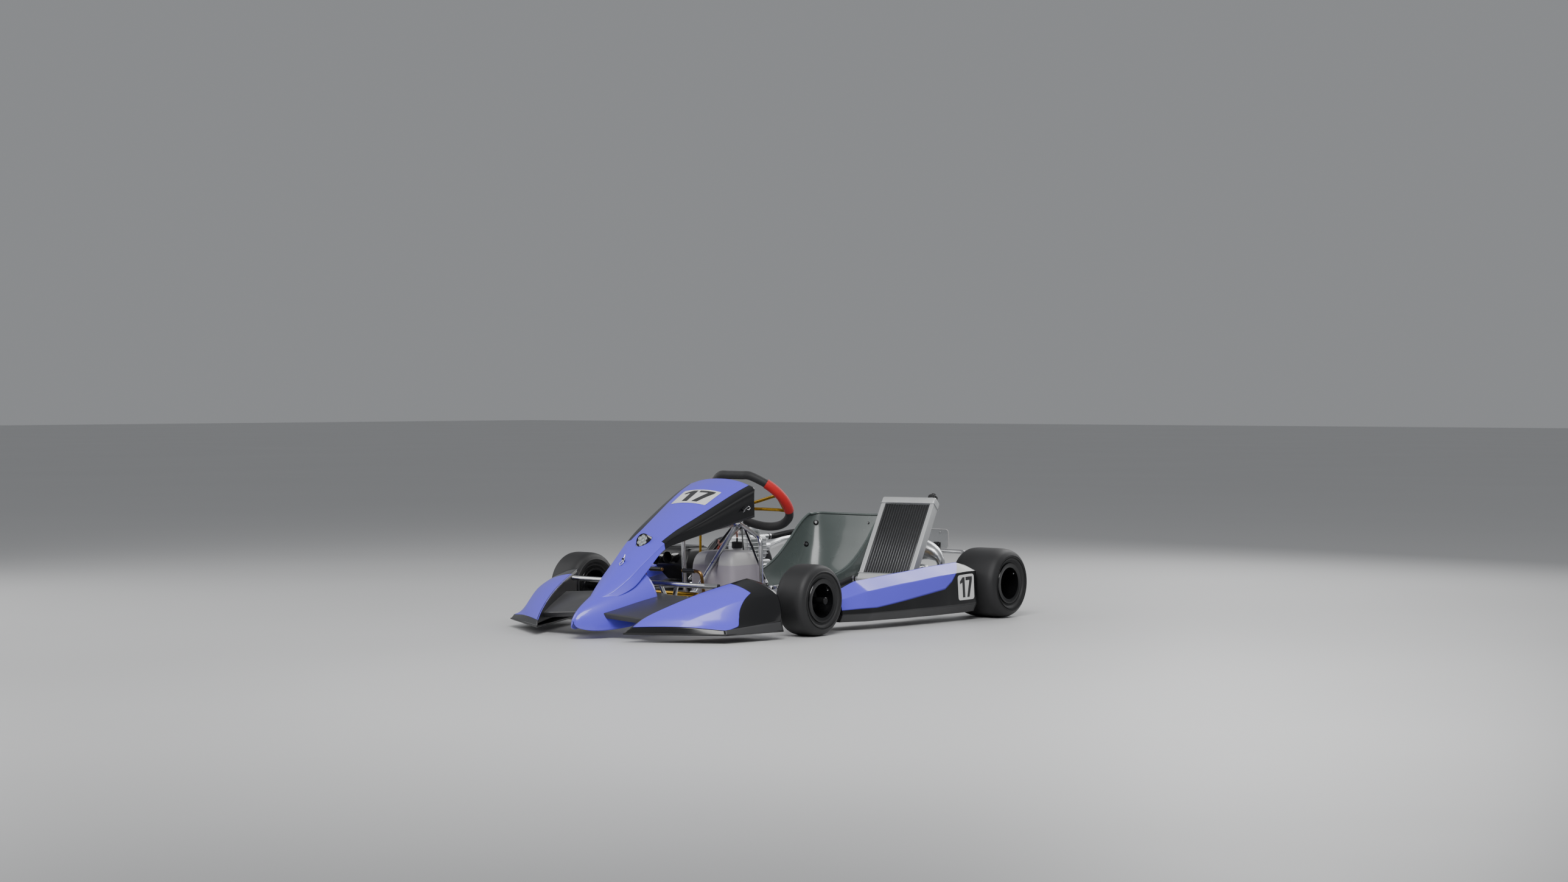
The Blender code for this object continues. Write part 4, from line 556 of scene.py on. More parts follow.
def panel_rows():
    """Cross lines of the front panel, each from its right lower edge over the crown to its left."""
    rows = []
    for dy, crown, rx, rz, bx, bz in PANEL:
        d = crown - rz
        half = [(0, crown), (rx * 0.28, crown - d * 0.06), (rx * 0.55, crown - d * 0.26),
            (rx * 0.80, crown - d * 0.62), (rx, rz), (rx * 1.01 + (bx - rx) * 0.15, rz - (rz - bz) * 0.18),
            ((rx + bx) / 2, (rz + bz) / 2), (bx, bz)]
        rows.append([front(x, dy, z) for x, z in [(-x, z) for x, z in reversed(half[1:])] + half])
    return rows


PANEL_ROWS = panel_rows()


def panel_at(s, v):
    """The front panel, s from its nose to its back and v across."""
    return curve_at([curve_at(row, v) for row in PANEL_ROWS], s)


# y from the front axle and half the blue stripe's width
BLUE_HALF = ((-0.30, 0.40), (-0.255, 0.073), (-0.185, 0.080), (-0.085, 0.101), (0.015, 0.121),
    (0.095, 0.134), (0.170, 0.142))


def panel_paint(s, v):
    """Above zero inside the blue stripe of the front panel."""
    p = panel_at(s, v)
    return (between(BLUE_HALF, p.y - FRONT_Y) - abs(p.x)) * 4


panel = grid("front_panel_fine", panel_at, 96, 150, PAINT, replaces=("front_panel",), paint=panel_paint)
socket = bpy.data.objects.new("lamp_cutter", bpy.data.meshes.new("lamp_cutter"))
bm = bmesh.new()
bmesh.ops.create_cone(bm, cap_ends=True, segments=48, radius1=LAMP_RADIUS + 0.0015,
    radius2=LAMP_RADIUS + 0.0015, depth=0.18, matrix=Matrix.Translation(LAMP_PLACE) @ turn_to(LAMP_WAY))
bm.to_mesh(socket.data)
bm.free()
opening = panel.modifiers.new("lamp", "BOOLEAN")
opening.object = socket
opening.solver = "EXACT"
bpy.context.scene.collection.objects.link(socket)
bpy.context.view_layer.update()
cut_mesh = bpy.data.meshes.new_from_object(panel.evaluated_get(bpy.context.evaluated_depsgraph_get()))
panel.modifiers.clear()
panel.data = cut_mesh
bpy.data.objects.remove(socket)

lamp_mouth = LAMP_PLACE + LAMP_WAY * 0.006
lathe("headlight_bowl", [(LAMP_RADIUS + 0.0008, -0.050), (LAMP_RADIUS + 0.0008, 0.004),
        (LAMP_RADIUS - 0.0004, 0.006), (LAMP_RADIUS - 0.0026, 0.005), (LAMP_RADIUS - 0.0036, 0.001),
        (0.001, 0.0), (0.001, -0.050)], lamp_mouth, LAMP_WAY, GLOSS, replaces=("headlight",), steps=64)
for i in range(7):
    a = math.radians(60 * i + 30)
    out = 0.0150 if i < 6 else 0.0
    lens = lamp_mouth + turn_to(LAMP_WAY).to_3x3() @ Vector((out * math.cos(a), out * math.sin(a), 0.0005))
    lathe(f"headlight_cup_{i + 1}", [(0.0058, 0), (0.0070, 0), (0.0070, 0.005), (0.0062, 0.005)], lens,
        LAMP_WAY, SILVER, steps=28)
    lathe(f"headlight_lens_{i + 1}", [(0.0001, 0.0), (0.0060, 0.0), (0.0060, 0.002), (0.0045, 0.0042),
            (0.0022, 0.0052), (0.0001, 0.0055)], lens, LAMP_WAY, GLASS, steps=28)


def on_panel(a, b):
    """a metres to the kart's left and b metres up the crown from the middle of the number plate."""
    return panel_at(0.789 + b / 0.99, 0.5 + a / 0.518)


race_number("panel_number", on_panel, 0.078, 0.054, corner=0.08)


def r_clip(name, at, along, out):
    """A bent wire clip through a small black post."""
    side = along.cross(out).normalized()
    rod(f"{name}_post", 0.0042, at - out * 0.004, at + out * 0.014, GLOSS, steps=16)
    base = at + out * 0.010
    loop = [base - along * 0.020, base + along * 0.008, base + along * 0.018 + side * 0.006,
        base + along * 0.026, base + along * 0.018 - side * 0.007, base + along * 0.006 - side * 0.007,
        base - along * 0.014 - side * 0.003]
    tube(name, smooth(loop, 6), 0.0013, CHROME, sides=3)


r_clip("panel_clip_front", panel_at(0.30, 0.5), Vector((0, -0.6, -0.8)), Vector((0, -0.65, 0.75)))
for label, side in SIDES:
    r_clip(f"panel_clip_{label}", Vector((side * 0.163, FRONT_Y + 0.105, 0.432)), Vector((0, 0.9, 0.35)),
        Vector((side, 0, 0)))

# ---------------------------------------------------------------- front fairing
FIN_INNER_LOW = [front(0.222, -0.590, 0.040), front(0.262, -0.500, 0.046), front(0.345, -0.330, 0.052),
    front(0.410, -0.179, 0.060)]
FIN_INNER_TOP = [front(0.226, -0.584, 0.054), front(0.250, -0.535, 0.088), front(0.298, -0.440, 0.130),
    front(0.346, -0.330, 0.168), front(0.408, -0.179, 0.208)]
FIN_CREASE = [front(0.372, -0.500, 0.057), front(0.398, -0.466, 0.080), front(0.440, -0.400, 0.109),
    front(0.492, -0.300, 0.142), front(0.547, -0.179, 0.160)]
FIN_OUTER = [front(0.508, -0.416, 0.047), front(0.522, -0.372, 0.051), front(0.538, -0.310, 0.056),
    front(0.553, -0.240, 0.060), front(0.566, -0.179, 0.064)]
FIN_LIP = [front(0.519, -0.424, 0.030), front(0.536, -0.366, 0.030), front(0.552, -0.305, 0.030),
    front(0.566, -0.240, 0.030), front(0.577, -0.179, 0.030)]


def fin_top(s, v):
    """A fin's top, s from its front to its back and v outwards, with a mild crease."""
    a, b, c = curve_at(FIN_INNER_TOP, s), curve_at(FIN_CREASE, s), curve_at(FIN_OUTER, s)
    knee = 0.55
    folded = a.lerp(b, v / knee) if v < knee else b.lerp(c, (v - knee) / (1 - knee))
    pull = (b - a * (1 - knee) ** 2 - c * knee ** 2) / (2 * knee * (1 - knee))
    curved = a * (1 - v) ** 2 + pull * 2 * v * (1 - v) + c * v ** 2
    return folded.lerp(curved, 0.72)


def fin_paint(s, v):
    """Above zero on the blue part of a fin."""
    rear_edge = between(((0, 0.90), (0.42, 0.86), (0.60, 0.72), (0.80, 0.56), (1.0, 0.36)), v)
    low_edge = between(((0, 1.02), (0.3, 0.97), (0.6, 0.90), (1.0, 0.84)), s)
    a, b = (rear_edge - s) * 0.45, (low_edge - v) * 0.25
    k = 0.03
    h = max(k - abs(a - b), 0) / k
    return (min(a, b) - h * h * k / 4) * 3


WING = ((0.040, -0.545, 0.090), (0.285, -0.520, 0.070), (0.395, -0.285, 0.128), (0.070, -0.300, 0.150))


def fairing():
    """Both fins with their walls, edges, splitters and wings."""
    replaced = ("front_fairing",)
    for label, side in SIDES:
        def mirrored(at):
            def placed(s, v):
                p = at(s, v)
                return Vector((side * p.x, p.y, p.z))
            return placed
        grid(f"fairing_fin_{label}", mirrored(fin_top), 60, 60, PAINT, replaces=replaced, paint=fin_paint,
            side=side)
        grid(f"fairing_fin_wall_{label}", mirrored(lambda s, v: curve_at(FIN_INNER_LOW,
                    s).lerp(curve_at(FIN_INNER_TOP, s), v)), 8, 40, SATIN, wall=0.003, side=side)
        grid(f"fairing_chamfer_{label}", mirrored(lambda s, v: curve_at(FIN_OUTER,
                    s).lerp(curve_at(FIN_LIP, s), v)), 6, 40, STRIP, wall=0.003, side=side)
        grid(f"fairing_front_edge_{label}", mirrored(lambda s, v: curve_at([FIN_INNER_TOP[0],
                        FIN_CREASE[0], FIN_OUTER[0]], s).lerp(Vector((0.209, FRONT_Y - 0.604,
                        0.034)).lerp(FIN_LIP[0], s), v)), 6, 40, GLOSS, wall=0.003, side=side)
        corners = [(0.206, -0.608), (0.520, -0.425), (0.578, -0.179), (0.400, -0.179)]
        hull(f"fairing_splitter_{label}", [front(side * x, dy, z) for x, dy in corners
                for z in (0.028, 0.034)], SATIN, edge=0.002)
        back = [curve_at(FIN_INNER_TOP, 1), curve_at(FIN_CREASE, 1), curve_at(FIN_OUTER, 1),
            curve_at(FIN_LIP, 1), front(0.402, -0.179, 0.034)]
        hull(f"fairing_fin_back_{label}", sided([p + Vector((0, dy, 0)) for p in back
                    for dy in (0, -0.003)], side), GLOSS, edge=0.0008, segments=1)

        def wing_at(s, v):
            outline = [Vector((x, FRONT_Y + dy, z)) for x, dy, z in WING]
            a, b = outline[0].lerp(outline[1], s), outline[3].lerp(outline[2], s)
            return a.lerp(b, v) + Vector((0, 0, 0.010 * math.sin(math.pi * v) * math.sin(math.pi * s)
                        + 0.006 * (v - 0.5) ** 2))
        top = grid(f"fairing_wing_{label}", mirrored(wing_at), 24, 30, STRIP, wall=0.020, side=-side)
        bevelled(top, 0.004, 3, 60)


fairing()
NOSE = ((-0.634, 0.003, 0.056, 0.064), (-0.629, 0.014, 0.043, 0.077), (-0.608, 0.027, 0.035, 0.097),
        (-0.575, 0.046, 0.030, 0.118), (-0.520, 0.072, 0.031, 0.145), (-0.430, 0.105, 0.043, 0.188),
        (-0.335, 0.132, 0.074, 0.232))   # y from the front axle, half width, lower edge, crown


def nose_at(s, v):
    """The rounded bow below the panel. v goes over it from one lower edge to the other."""
    dy, half, low, high = curve_at([Vector(row) for row in NOSE], s)
    a = math.pi * (1 - v)
    x = half * math.copysign(abs(math.cos(a)) ** 0.86, math.cos(a))
    return front(x, dy, low + (high - low) * max(0.0, math.sin(a)) ** 0.92)


grid("fairing_nose", nose_at, 72, 72, BLUE, wall=0.003, side=-1)

# ---------------------------------------------------------------- side pods
# share of the length, then x and z of the ridge, shoulder, lower corner and underside
POD = ((0.00, 0.505, 0.134, 0.553, 0.116, 0.562, 0.060, 0.548, 0.033),
    (0.16, 0.534, 0.176, 0.594, 0.142, 0.607, 0.060, 0.592, 0.032),
    (0.48, 0.565, 0.196, 0.628, 0.164, 0.639, 0.060, 0.624, 0.031),
    (0.76, 0.588, 0.212, 0.653, 0.181, 0.661, 0.060, 0.646, 0.031),
    (0.94, 0.602, 0.219, 0.665, 0.188, 0.672, 0.061, 0.657, 0.032),
    (1.00, 0.621, 0.209, 0.671, 0.188, 0.676, 0.063, 0.661, 0.034))
POD_FRONT_Y, POD_REAR_Y = FRONT_Y + 0.182, REAR_Y - 0.152


def pod_lines(s):
    """The lengthwise corners of a side pod at s, from its inner top to its underside."""
    places = [row[0] for row in POD]
    i = min(max(k for k, p in enumerate(places) if p <= s), len(POD) - 2)
    t = (s - places[i]) / (places[i + 1] - places[i])
    t = t * t * (3 - 2 * t) * 0.4 + t * 0.6
    row = [a * (1 - t) + b * t for a, b in zip(POD[i], POD[i + 1])]
    y = POD_FRONT_Y + (POD_REAR_Y - POD_FRONT_Y) * s
    _, rx, rz, cx, cz, lx, lz, ux, uz = row
    return [Vector((x, y, z)) for x, z in ((rx - 0.012, rz - 0.045), (rx - 0.010, rz - 0.006), (rx, rz),
            (cx, cz), (lx, lz), (ux, uz), (ux - 0.150, uz + 0.004))]


def pod_at(side, low, high):
    """The pod's surface between two of its lengthwise corners."""
    def at(s, v):
        lines = pod_lines(s)
        place = low + (high - low) * v
        i = min(int(place), len(lines) - 2)
        p = lines[i].lerp(lines[i + 1], place - i)
        return Vector((side * p.x, p.y, p.z))
    return at


def pod_paint(s, v):
    """Above zero on the blue part of a pod."""
    across = v * 4
    edge = between(((0, 3.68), (0.21, 3.74), (0.54, 3.53), (0.74, 3.42), (0.80, 3.22), (0.84, 2.98),
            (0.90, 2.5), (0.955, 2.0), (0.97, -1.0)), s)
    return (edge - across) * 0.12


for label, side in SIDES:
    grid(f"side_pod_{label}_skin", pod_at(side, 0, 4), 80, 120, PAINT, replaces=(f"side_pod_{label}",),
        paint=pod_paint, side=side, angle=60)
    grid(f"side_pod_{label}_chamfer", pod_at(side, 4, 6), 24, 80, STRIP, wall=0.003, side=side, angle=60)
    for end, s in (("front", 0.0), ("rear", 1.0)):
        rim = pod_lines(s)
        inset = 0.0015 if s == 0 else -0.0015
        hull(f"side_pod_{label}_{end}_cap", sided([p + Vector((0, inset * k, 0)) for p in rim
                    for k in (0, 1)], side), GLOSS, edge=0.0005, segments=1)

    def on_pod(a, b, side=side):
        return pod_at(side, 3, 4)((0.913 + side * a / 0.696), 0.46 - b / 0.124)
    race_number(f"pod_number_{label}", on_pod, 0.046, 0.047)

# ---------------------------------------------------------------- seat
# y and z of the middle, y and z of the edge, half width
SEAT = ((-0.020, 0.118, -0.010, 0.136, 0.160), (0.040, 0.086, 0.045, 0.152, 0.174),
    (0.140, 0.060, 0.115, 0.168, 0.184), (0.250, 0.054, 0.175, 0.188, 0.189),
    (0.340, 0.078, 0.240, 0.226, 0.190), (0.405, 0.140, 0.310, 0.284, 0.189),
    (0.444, 0.220, 0.362, 0.336, 0.186), (0.466, 0.305, 0.406, 0.370, 0.181),
    (0.478, 0.380, 0.436, 0.388, 0.170))


def seat_row(row, v):
    """A point across one row of the seat, v from 0 to 1."""
    cy, cz, ey, ez, half = row
    a = (v * 2 - 1) * math.pi / 2
    x = half * math.copysign(abs(math.sin(a)) ** 0.75, a)
    rise = min(1.0, 1 - max(0.0, math.cos(a)) ** 0.75)
    return Vector((x, SEAT_Y + cy + (ey - cy) * rise, cz + (ez - cz) * rise))


def seat_at(s, v):
    """The seat's shell, s from its front to the top of its back, with round top corners."""
    v = min(max(v, 0.0), 1.0)
    round_corner = 1 - 0.07 * abs(2 * v - 1) ** 7
    return curve_at([seat_row(row, v) for row in SEAT], min(max(s, 0.0), 1.0) * round_corner)


grid("seat_shell", seat_at, 96, 80, FIBRE, replaces=("seat",), wall=0.0045, side=1, angle=70)
edge_loop = ([seat_at(s / 40, 0.0) for s in range(41)] + [seat_at(1, v / 60) for v in range(1, 60)]
        + [seat_at(1 - s / 40, 1.0) for s in range(41)] + [seat_at(0, 1 - v / 60) for v in range(1, 60)])
tube("seat_rim", edge_loop, 0.0048, FIBRE, closed=True, sides=4)
for i, (s, v) in enumerate(((0.90, 0.16), (0.90, 0.84), (0.72, 0.14), (0.72, 0.86), (0.94, 0.62))):
    here = seat_at(s, v)
    normal = (seat_at(s + 0.01, v) - here).cross(seat_at(s, v + 0.01) - here).normalized()
    normal = normal if normal.dot(Vector((0, SEAT_Y + 0.15, 0.35)) - here) > 0 else -normal
    size = 0.011 if i < 4 else 0.005
    lathe(f"seat_washer_{i + 1}", [(size * 0.35, 0), (size, 0), (size, 0.0012), (size * 0.8, 0.0024),
            (size * 0.35, 0.0024)], here, normal, BLACK_METAL, steps=32)
    bolt(f"seat_bolt_{i + 1}", here + normal * 0.0012, normal, size * 0.42)

# ---------------------------------------------------------------- tubes
for label, side in SIDES:
    tip_x, tip_y = 0.150, FRONT_Y - 0.225
    rail = [(tip_x, tip_y, FRAME_Z), (tip_x, tip_y + 0.035, FRAME_Z),
        (RAIL_FRONT_X, FRONT_Y - 0.020, FRAME_Z), (RAIL_FRONT_X - 0.012, WAIST_Y - 0.03, FRAME_Z),
        (RAIL_REAR_X, SEAT_Y + 0.05, FRAME_Z), (RAIL_REAR_X, REAR_Y + 0.105, FRAME_Z)]
    tube(f"frame_rail_{label}", sided(bent(rail, 0.10), side), TUBE, CHROME)
    outer = KINGPIN_X - 0.052
    tube(f"frame_strut_{label}", [(side * outer, FRONT_Y - 0.020, 0.063),
            (side * (KINGPIN_X - 0.049), FRONT_Y, FRONT_AXLE.z)], 0.010, CHROME)
    lean = turn_to(AXES[f"spindle_{label}"])
    kingpin = ANCHORS[f"spindle_{label}"]
    axis = AXES[f"spindle_{label}"]
    for word, sign in (("lower", -1), ("upper", 1)):
        middle = kingpin + axis * sign * 0.046
        lathe(f"yoke_{label}_{word}_eye", [(0.0065, -0.004), (0.0165, -0.004), (0.0172, -0.003),
                (0.0172, 0.003), (0.0165, 0.004), (0.0065, 0.004)], middle, axis, CHROME, steps=40)
        block(f"yoke_{label}_{word}_arm", (0.036, 0.026, 0.0072),
            middle + lean.to_3x3() @ Vector((-side * 0.031, 0, 0)), CHROME, turn=lean, edge=0.0015)
        bolt(f"kingpin_bolt_{label}_{word}", middle + axis * sign * 0.004, axis * sign, 0.0085)
    block(f"yoke_{label}_spine", (0.014, 0.034, 0.099),
        kingpin + lean.to_3x3() @ Vector((-side * 0.049, 0, 0)), CHROME, turn=lean, edge=0.002)
    x = side * RAIL_REAR_X
    for word, sign in (("front", -1), ("back", 1)):
        corners = [(sign * 0.064, 0.066), (sign * 0.0503, 0.140), (sign * 0.060, REAR_AXLE.z + 0.014),
            (sign * 0.0480, REAR_AXLE.z + 0.014), (sign * 0.0505, 0.120), (sign * 0.036, 0.098),
            (sign * 0.030, 0.066)]
        hull(f"hanger_{label}_{word}", [Vector((x + sx * 0.0035, REAR_Y + y, z)) for sx in (1, -1)
                for y, z in corners if abs(y) > 0.0482 or z < 0.09], CHROME, edge=0.0008)
for word, y, half in (("front", FRONT_Y - 0.020, KINGPIN_X - 0.052),
        ("waist", WAIST_Y, RAIL_FRONT_X - 0.005), ("rear", REAR_Y + 0.087, RAIL_REAR_X)):
    made = tube(f"frame_cross_{word}", [(-half, y, FRAME_Z + 0.001), (half, y, FRAME_Z + 0.001)],
        TUBE - 0.001, CHROME)
    if word == "front":
        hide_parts("frame")

bar_y, bar_z, half = FRONT_Y - 0.275, 0.180, 0.352
tube("front_bumper_bar", bent([(-half, bar_y + 0.012, bar_z), (-half + 0.05, bar_y, bar_z),
            (half - 0.05, bar_y, bar_z), (half, bar_y + 0.012, bar_z)], 0.05), BUMPER_TUBE, CHROME,
    replaces=("front_bumper",))
low_y, low_z = FRONT_Y - 0.255, 0.088
tube("front_bumper_low", [(-0.16, low_y, low_z), (0.16, low_y, low_z)], BUMPER_TUBE, CHROME)
for label, side in SIDES:
    for i, (foot, head) in enumerate(((0.118, 0.085), (0.126, 0.165))):
        tube(f"front_bumper_stay_{label}_{i + 1}",
            sided([(head, bar_y, bar_z), (foot, low_y, low_z)], side), 0.0081, CHROME)
    tube(f"front_bumper_spigot_{label}", sided([(0.122, low_y, low_z), (tip_x, tip_y - 0.024, FRAME_Z),
                (tip_x, tip_y - 0.0004, FRAME_Z)], side), 0.0090, CHROME)
    rod(f"front_bumper_plug_{label}", 0.0099, (side * (half + 0.0005), bar_y + 0.0121, bar_z),
        (side * (half - 0.004), bar_y + 0.011, bar_z), SATIN)

y, z = FRONT_Y - 0.150, 0.135
ends = [Vector((0.162, y, FRAME_Z + TUBE + GAP)), Vector((0.162, y, z))]
tube("front_torsion_bar_fine", bent(sided(ends, -1) + ends[::-1], 0.02), 0.0085, GOLD,
    replaces=("front_torsion_bar",))
y, z, low = REAR_Y + 0.245, 0.226, REAR_Y + 0.1054
tube("rear_bumper_fine", bent([(RAIL_REAR_X, low, FRAME_Z), (RAIL_REAR_X, y - 0.02, FRAME_Z + 0.004),
            (0.36, y, 0.13), (0.37, y, z), (-0.37, y, z), (-0.36, y, 0.13),
            (-RAIL_REAR_X, y - 0.02, FRAME_Z + 0.004), (-RAIL_REAR_X, low, FRAME_Z)], 0.05), BUMPER_TUBE,
    CHROME, replaces=("rear_bumper",))
for label, side in SIDES:
    x, z = 0.530, 0.084
    a, b = FRONT_Y + 0.245, REAR_Y - 0.205
    tube(f"side_bar_{label}_fine", sided(bent([(RAIL_FRONT_X + TUBE, a, z), (x - 0.03, a, z),
                    (x, a + 0.05, z + 0.012), (x, b - 0.05, z + 0.012), (x - 0.03, b, z),
                    (RAIL_REAR_X + TUBE + 0.0008, b, FRAME_Z + 0.004)], 0.04), side), BUMPER_TUBE, CHROME,
        replaces=(f"side_bar_{label}",))
    stay = [(RAIL_REAR_X - TUBE - STAY_TUBE, SEAT_Y + 0.405, FRAME_Z + 0.002),
        (RAIL_REAR_X - TUBE - STAY_TUBE, SEAT_Y + 0.405, 0.10), (0.216, SEAT_Y + 0.375, 0.27),
        (0.203, SEAT_Y + 0.372, 0.31)]
    tube(f"seat_stay_{label}_fine", sided(bent(stay, 0.03), side), STAY_TUBE, CHROME,
        replaces=(f"seat_stay_{label}",))
    head = BRACKET_AT + Vector((side * 0.0275, 0, 0)) - COLUMN_UP * 0.012
    foot = Vector((side * 0.187, FRONT_Y + 0.206, FRAME_Z + TUBE + GAP))
    knee = foot + Vector((side * 0.006, 0, 0.072))
    tube(f"column_stay_{label}_fine", bent([head, knee, foot], 0.012), 0.0045, GLOSS,
        replaces=(f"column_stay_{label}",))
    rod(f"column_stay_{label}_ball", 0.0070, knee + Vector((-side * 0.004, 0, 0.006)),
        knee + Vector((-side * 0.014, 0.003, 0.018)), STEEL)
    foot = Vector((side * 0.187, FRONT_Y + 0.180, FRAME_Z + TUBE + 2 * GAP))
    tube(f"steering_leg_{label}", bent([foot, Vector((side * 0.190, FRONT_Y + 0.168, 0.325)),
                BRACKET_AT + Vector((side * 0.0205, 0, 0))], 0.035), 0.0085, CHROME,
        replaces=("steering_support",))
    block(f"steering_ear_{label}", (0.006, 0.030, 0.042),
        BRACKET_AT + Vector((side * 0.019, 0, 0)) - COLUMN_AXIS * 0.004, CHROME,
        turn=Matrix.Rotation(math.radians(45), 4, "X"), edge=0.0012)
lathe("steering_collar", [(0.0110, -0.018), (0.018, -0.018), (0.019, -0.016), (0.019, 0.016),
        (0.018, 0.018), (0.0110, 0.018)], BRACKET_AT, COLUMN_AXIS, CHROME, steps=48)
tube("panel_post", [BRACKET_AT + COLUMN_UP * 0.0185, front(0, 0.150, 0.528)], 0.005, CHROME)

# ---------------------------------------------------------------- steering
RIM_R, WIDER, GRIP, SPOKE = 0.152, 1.07, 0.0155, 0.0060


def on_wheel(x, up, deep=0.0):
    """A point in the steering wheel's plane."""
    return WHEEL_CENTRE + Vector((x, 0, 0)) + COLUMN_UP * up + COLUMN_AXIS * deep


def wheel_loop(count=160):
    """The centre line of the grip: round below, flat on top."""
    top, flat, widest = RIM_R * 0.925, 0.078, RIM_R * WIDER
    first = math.pi - math.atan2(top, flat) + math.radians(7)
    sweep = 2 * math.pi - 2 * (first - math.pi / 2)
    control = [on_wheel(-flat * 0.4, top), on_wheel(-flat * 0.85, top * 0.995)]
    for i in range(21):
        a = first + sweep * i / 20
        control.append(on_wheel(widest * math.cos(a),
                RIM_R * (0.965 if math.sin(a) < -0.7 else 1.0) * math.sin(a)))
    control += [on_wheel(flat * 0.85, top * 0.995), on_wheel(flat * 0.4, top)]
    padded = control + control[:3]
    out = []
    for i in range(count):
        p = curve_at(padded, (1 + len(control) * i / count) / (len(padded) - 1))
        out.append(p)
    return out


LOOP = wheel_loop()
start = min(range(len(LOOP)), key=lambda i: (LOOP[i] - on_wheel(0, 0.2)).length)
LOOP = LOOP[start:] + LOOP[:start]


def grip(name, first, last, finish, extra=0.0, replaces=()):
    """One stretch of the grip between two points of its centre line."""
    tube(name, LOOP[first:last + 1] if last < len(LOOP) else LOOP[first:] + LOOP[:last - len(LOOP) + 1],
        GRIP + extra, finish, "steering", replaces, sides=8)


COUNT = len(LOOP)
grip("grip_top_a", 0, 22, SUEDE, 0.0008, ("steering_wheel",))
grip("grip_red_a", 22, 48, RED, 0.0034)
grip("grip_low", 48, COUNT - 48, SUEDE, 0.0008)
grip("grip_red_b", COUNT - 48, COUNT - 22, RED, 0.0034)
grip("grip_top_b", COUNT - 22, COUNT, SUEDE, 0.0008)
lathe("spoke_hub", [(0.006, 0.0004), (0.025, 0.0004), (0.026, 0.002), (0.026, 0.007), (0.025, 0.008),
        (0.006, 0.008)], HUB_PLACE, COLUMN_AXIS, GOLD, "steering", ("steering_spokes",), steps=56)
lift = (WHEEL_CENTRE - HUB_PLACE).length - 0.004
reach = RIM_R * WIDER - GRIP - 2 * GAP
SPOKE_UP, SPOKE_DOWN = 0.030, -0.055
for label, side in SIDES:
    def spoke_at(out, up, rise):
        return HUB_PLACE + Vector((side * out, 0, 0)) + COLUMN_UP * up + COLUMN_AXIS * (0.006 + rise)
    arms = []
    for up, foot in ((SPOKE_UP, 0.012), (SPOKE_DOWN, -0.012)):
        outer = math.sqrt(reach ** 2 - up ** 2) - 0.004
        arms.append([spoke_at(0.006, foot, 0), spoke_at(0.050, foot + (up - foot) * 0.3, lift * 0.35),
                     spoke_at(outer * 0.82, up * 0.85, lift * 0.9), spoke_at(outer, up, lift)])
    tube(f"spoke_{label}", bent(arms[0] + arms[1][::-1], 0.024), SPOKE, GOLD, "steering")
for i in range(3):
    a = math.radians(90 + 120 * i)
    bolt(f"hub_bolt_{i + 1}", HUB_PLACE + COLUMN_AXIS * 0.008 + Vector((0.017 * math.cos(a), 0, 0))
            + COLUMN_UP * 0.017 * math.sin(a), COLUMN_AXIS, 0.0034, "steering")

# ---------------------------------------------------------------- fuel tank
y0, y1 = FRONT_Y + 0.108, FRONT_Y + 0.285


def tank_ring(z, half, front_y, back_y, groove):
    """A rounded outline at one height, with the groove in the middle of its front."""
    corner, points = 0.022, []
    for cx, cy, start in ((half - corner, back_y - corner, 0), (-half + corner, back_y - corner, 90),
            (-half + corner, front_y + corner, 180)):
        for i in range(6):
            a = math.radians(start + 18 * i)
            points.append(Vector((cx + corner * math.cos(a), cy + corner * math.sin(a), z)))
    for x, d in ((-0.034, 0), (-0.026, 0.3), (-0.020, 0.8), (-0.012, 1), (0.012, 1), (0.020, 0.8),
            (0.026, 0.3), (0.034, 0)):
        points.append(Vector((x, front_y + groove * d, z)))
    for i in range(6):
        a = math.radians(270 + 18 * i)
        points.append(Vector((half - corner + corner * math.cos(a),
                    front_y + corner + corner * math.sin(a), z)))
    return points


def groove_depth(z):
    """How far the column's path reaches into the front of the tank at height z."""
    column_y = COLUMN_POINT.y + (z - COLUMN_POINT.z)
    return max(0.0, min(0.15, column_y + 0.022 - y0)) if z > 0.16 else 0.0


def tank():
    """The tank's shell, darker up to the level of the fuel."""
    levels = ((0.0482, 0.100, 0.004), (0.053, 0.105, 0), (0.110, 0.1055, 0), (0.160, 0.105, 0),
        (0.175, 0.1048, 0.001), (0.200, 0.1035, 0.002), (0.222, 0.1015, 0.003), (0.240, 0.0985, 0.006),
        (0.254, 0.0935, 0.012), (0.263, 0.0875, 0.019), (0.268, 0.081, 0.026), (0.2715, 0.072, 0.034))
    bm = bmesh.new()
    rings = [[bm.verts.new(p) for p in tank_ring(z, half, y0 + step, y1 - step * 0.5, groove_depth(z))]
        for z, half, step in levels]
    closed_body(bm, rings)
    obj = from_bmesh("fuel_tank_shell", bm, MILKY_AND_EDGE_HIGHLIGHT, replaces=("fuel_tank",), angle=50)
    obj.data.materials.append(FUEL)
    for face in obj.data.polygons:
        if face.center.z < 0.215 and abs(face.normal.z) < 0.9:
            face.material_index = 1


tank()
cap_y = FRONT_Y + 0.262
lathe("fuel_neck", [(0.010, 0), (0.0170, 0), (0.0170, 0.009), (0.010, 0.009)], Vector((0, cap_y, 0.269)),
    (0, 0, 1), MILKY_AND_EDGE_HIGHLIGHT, steps=48)


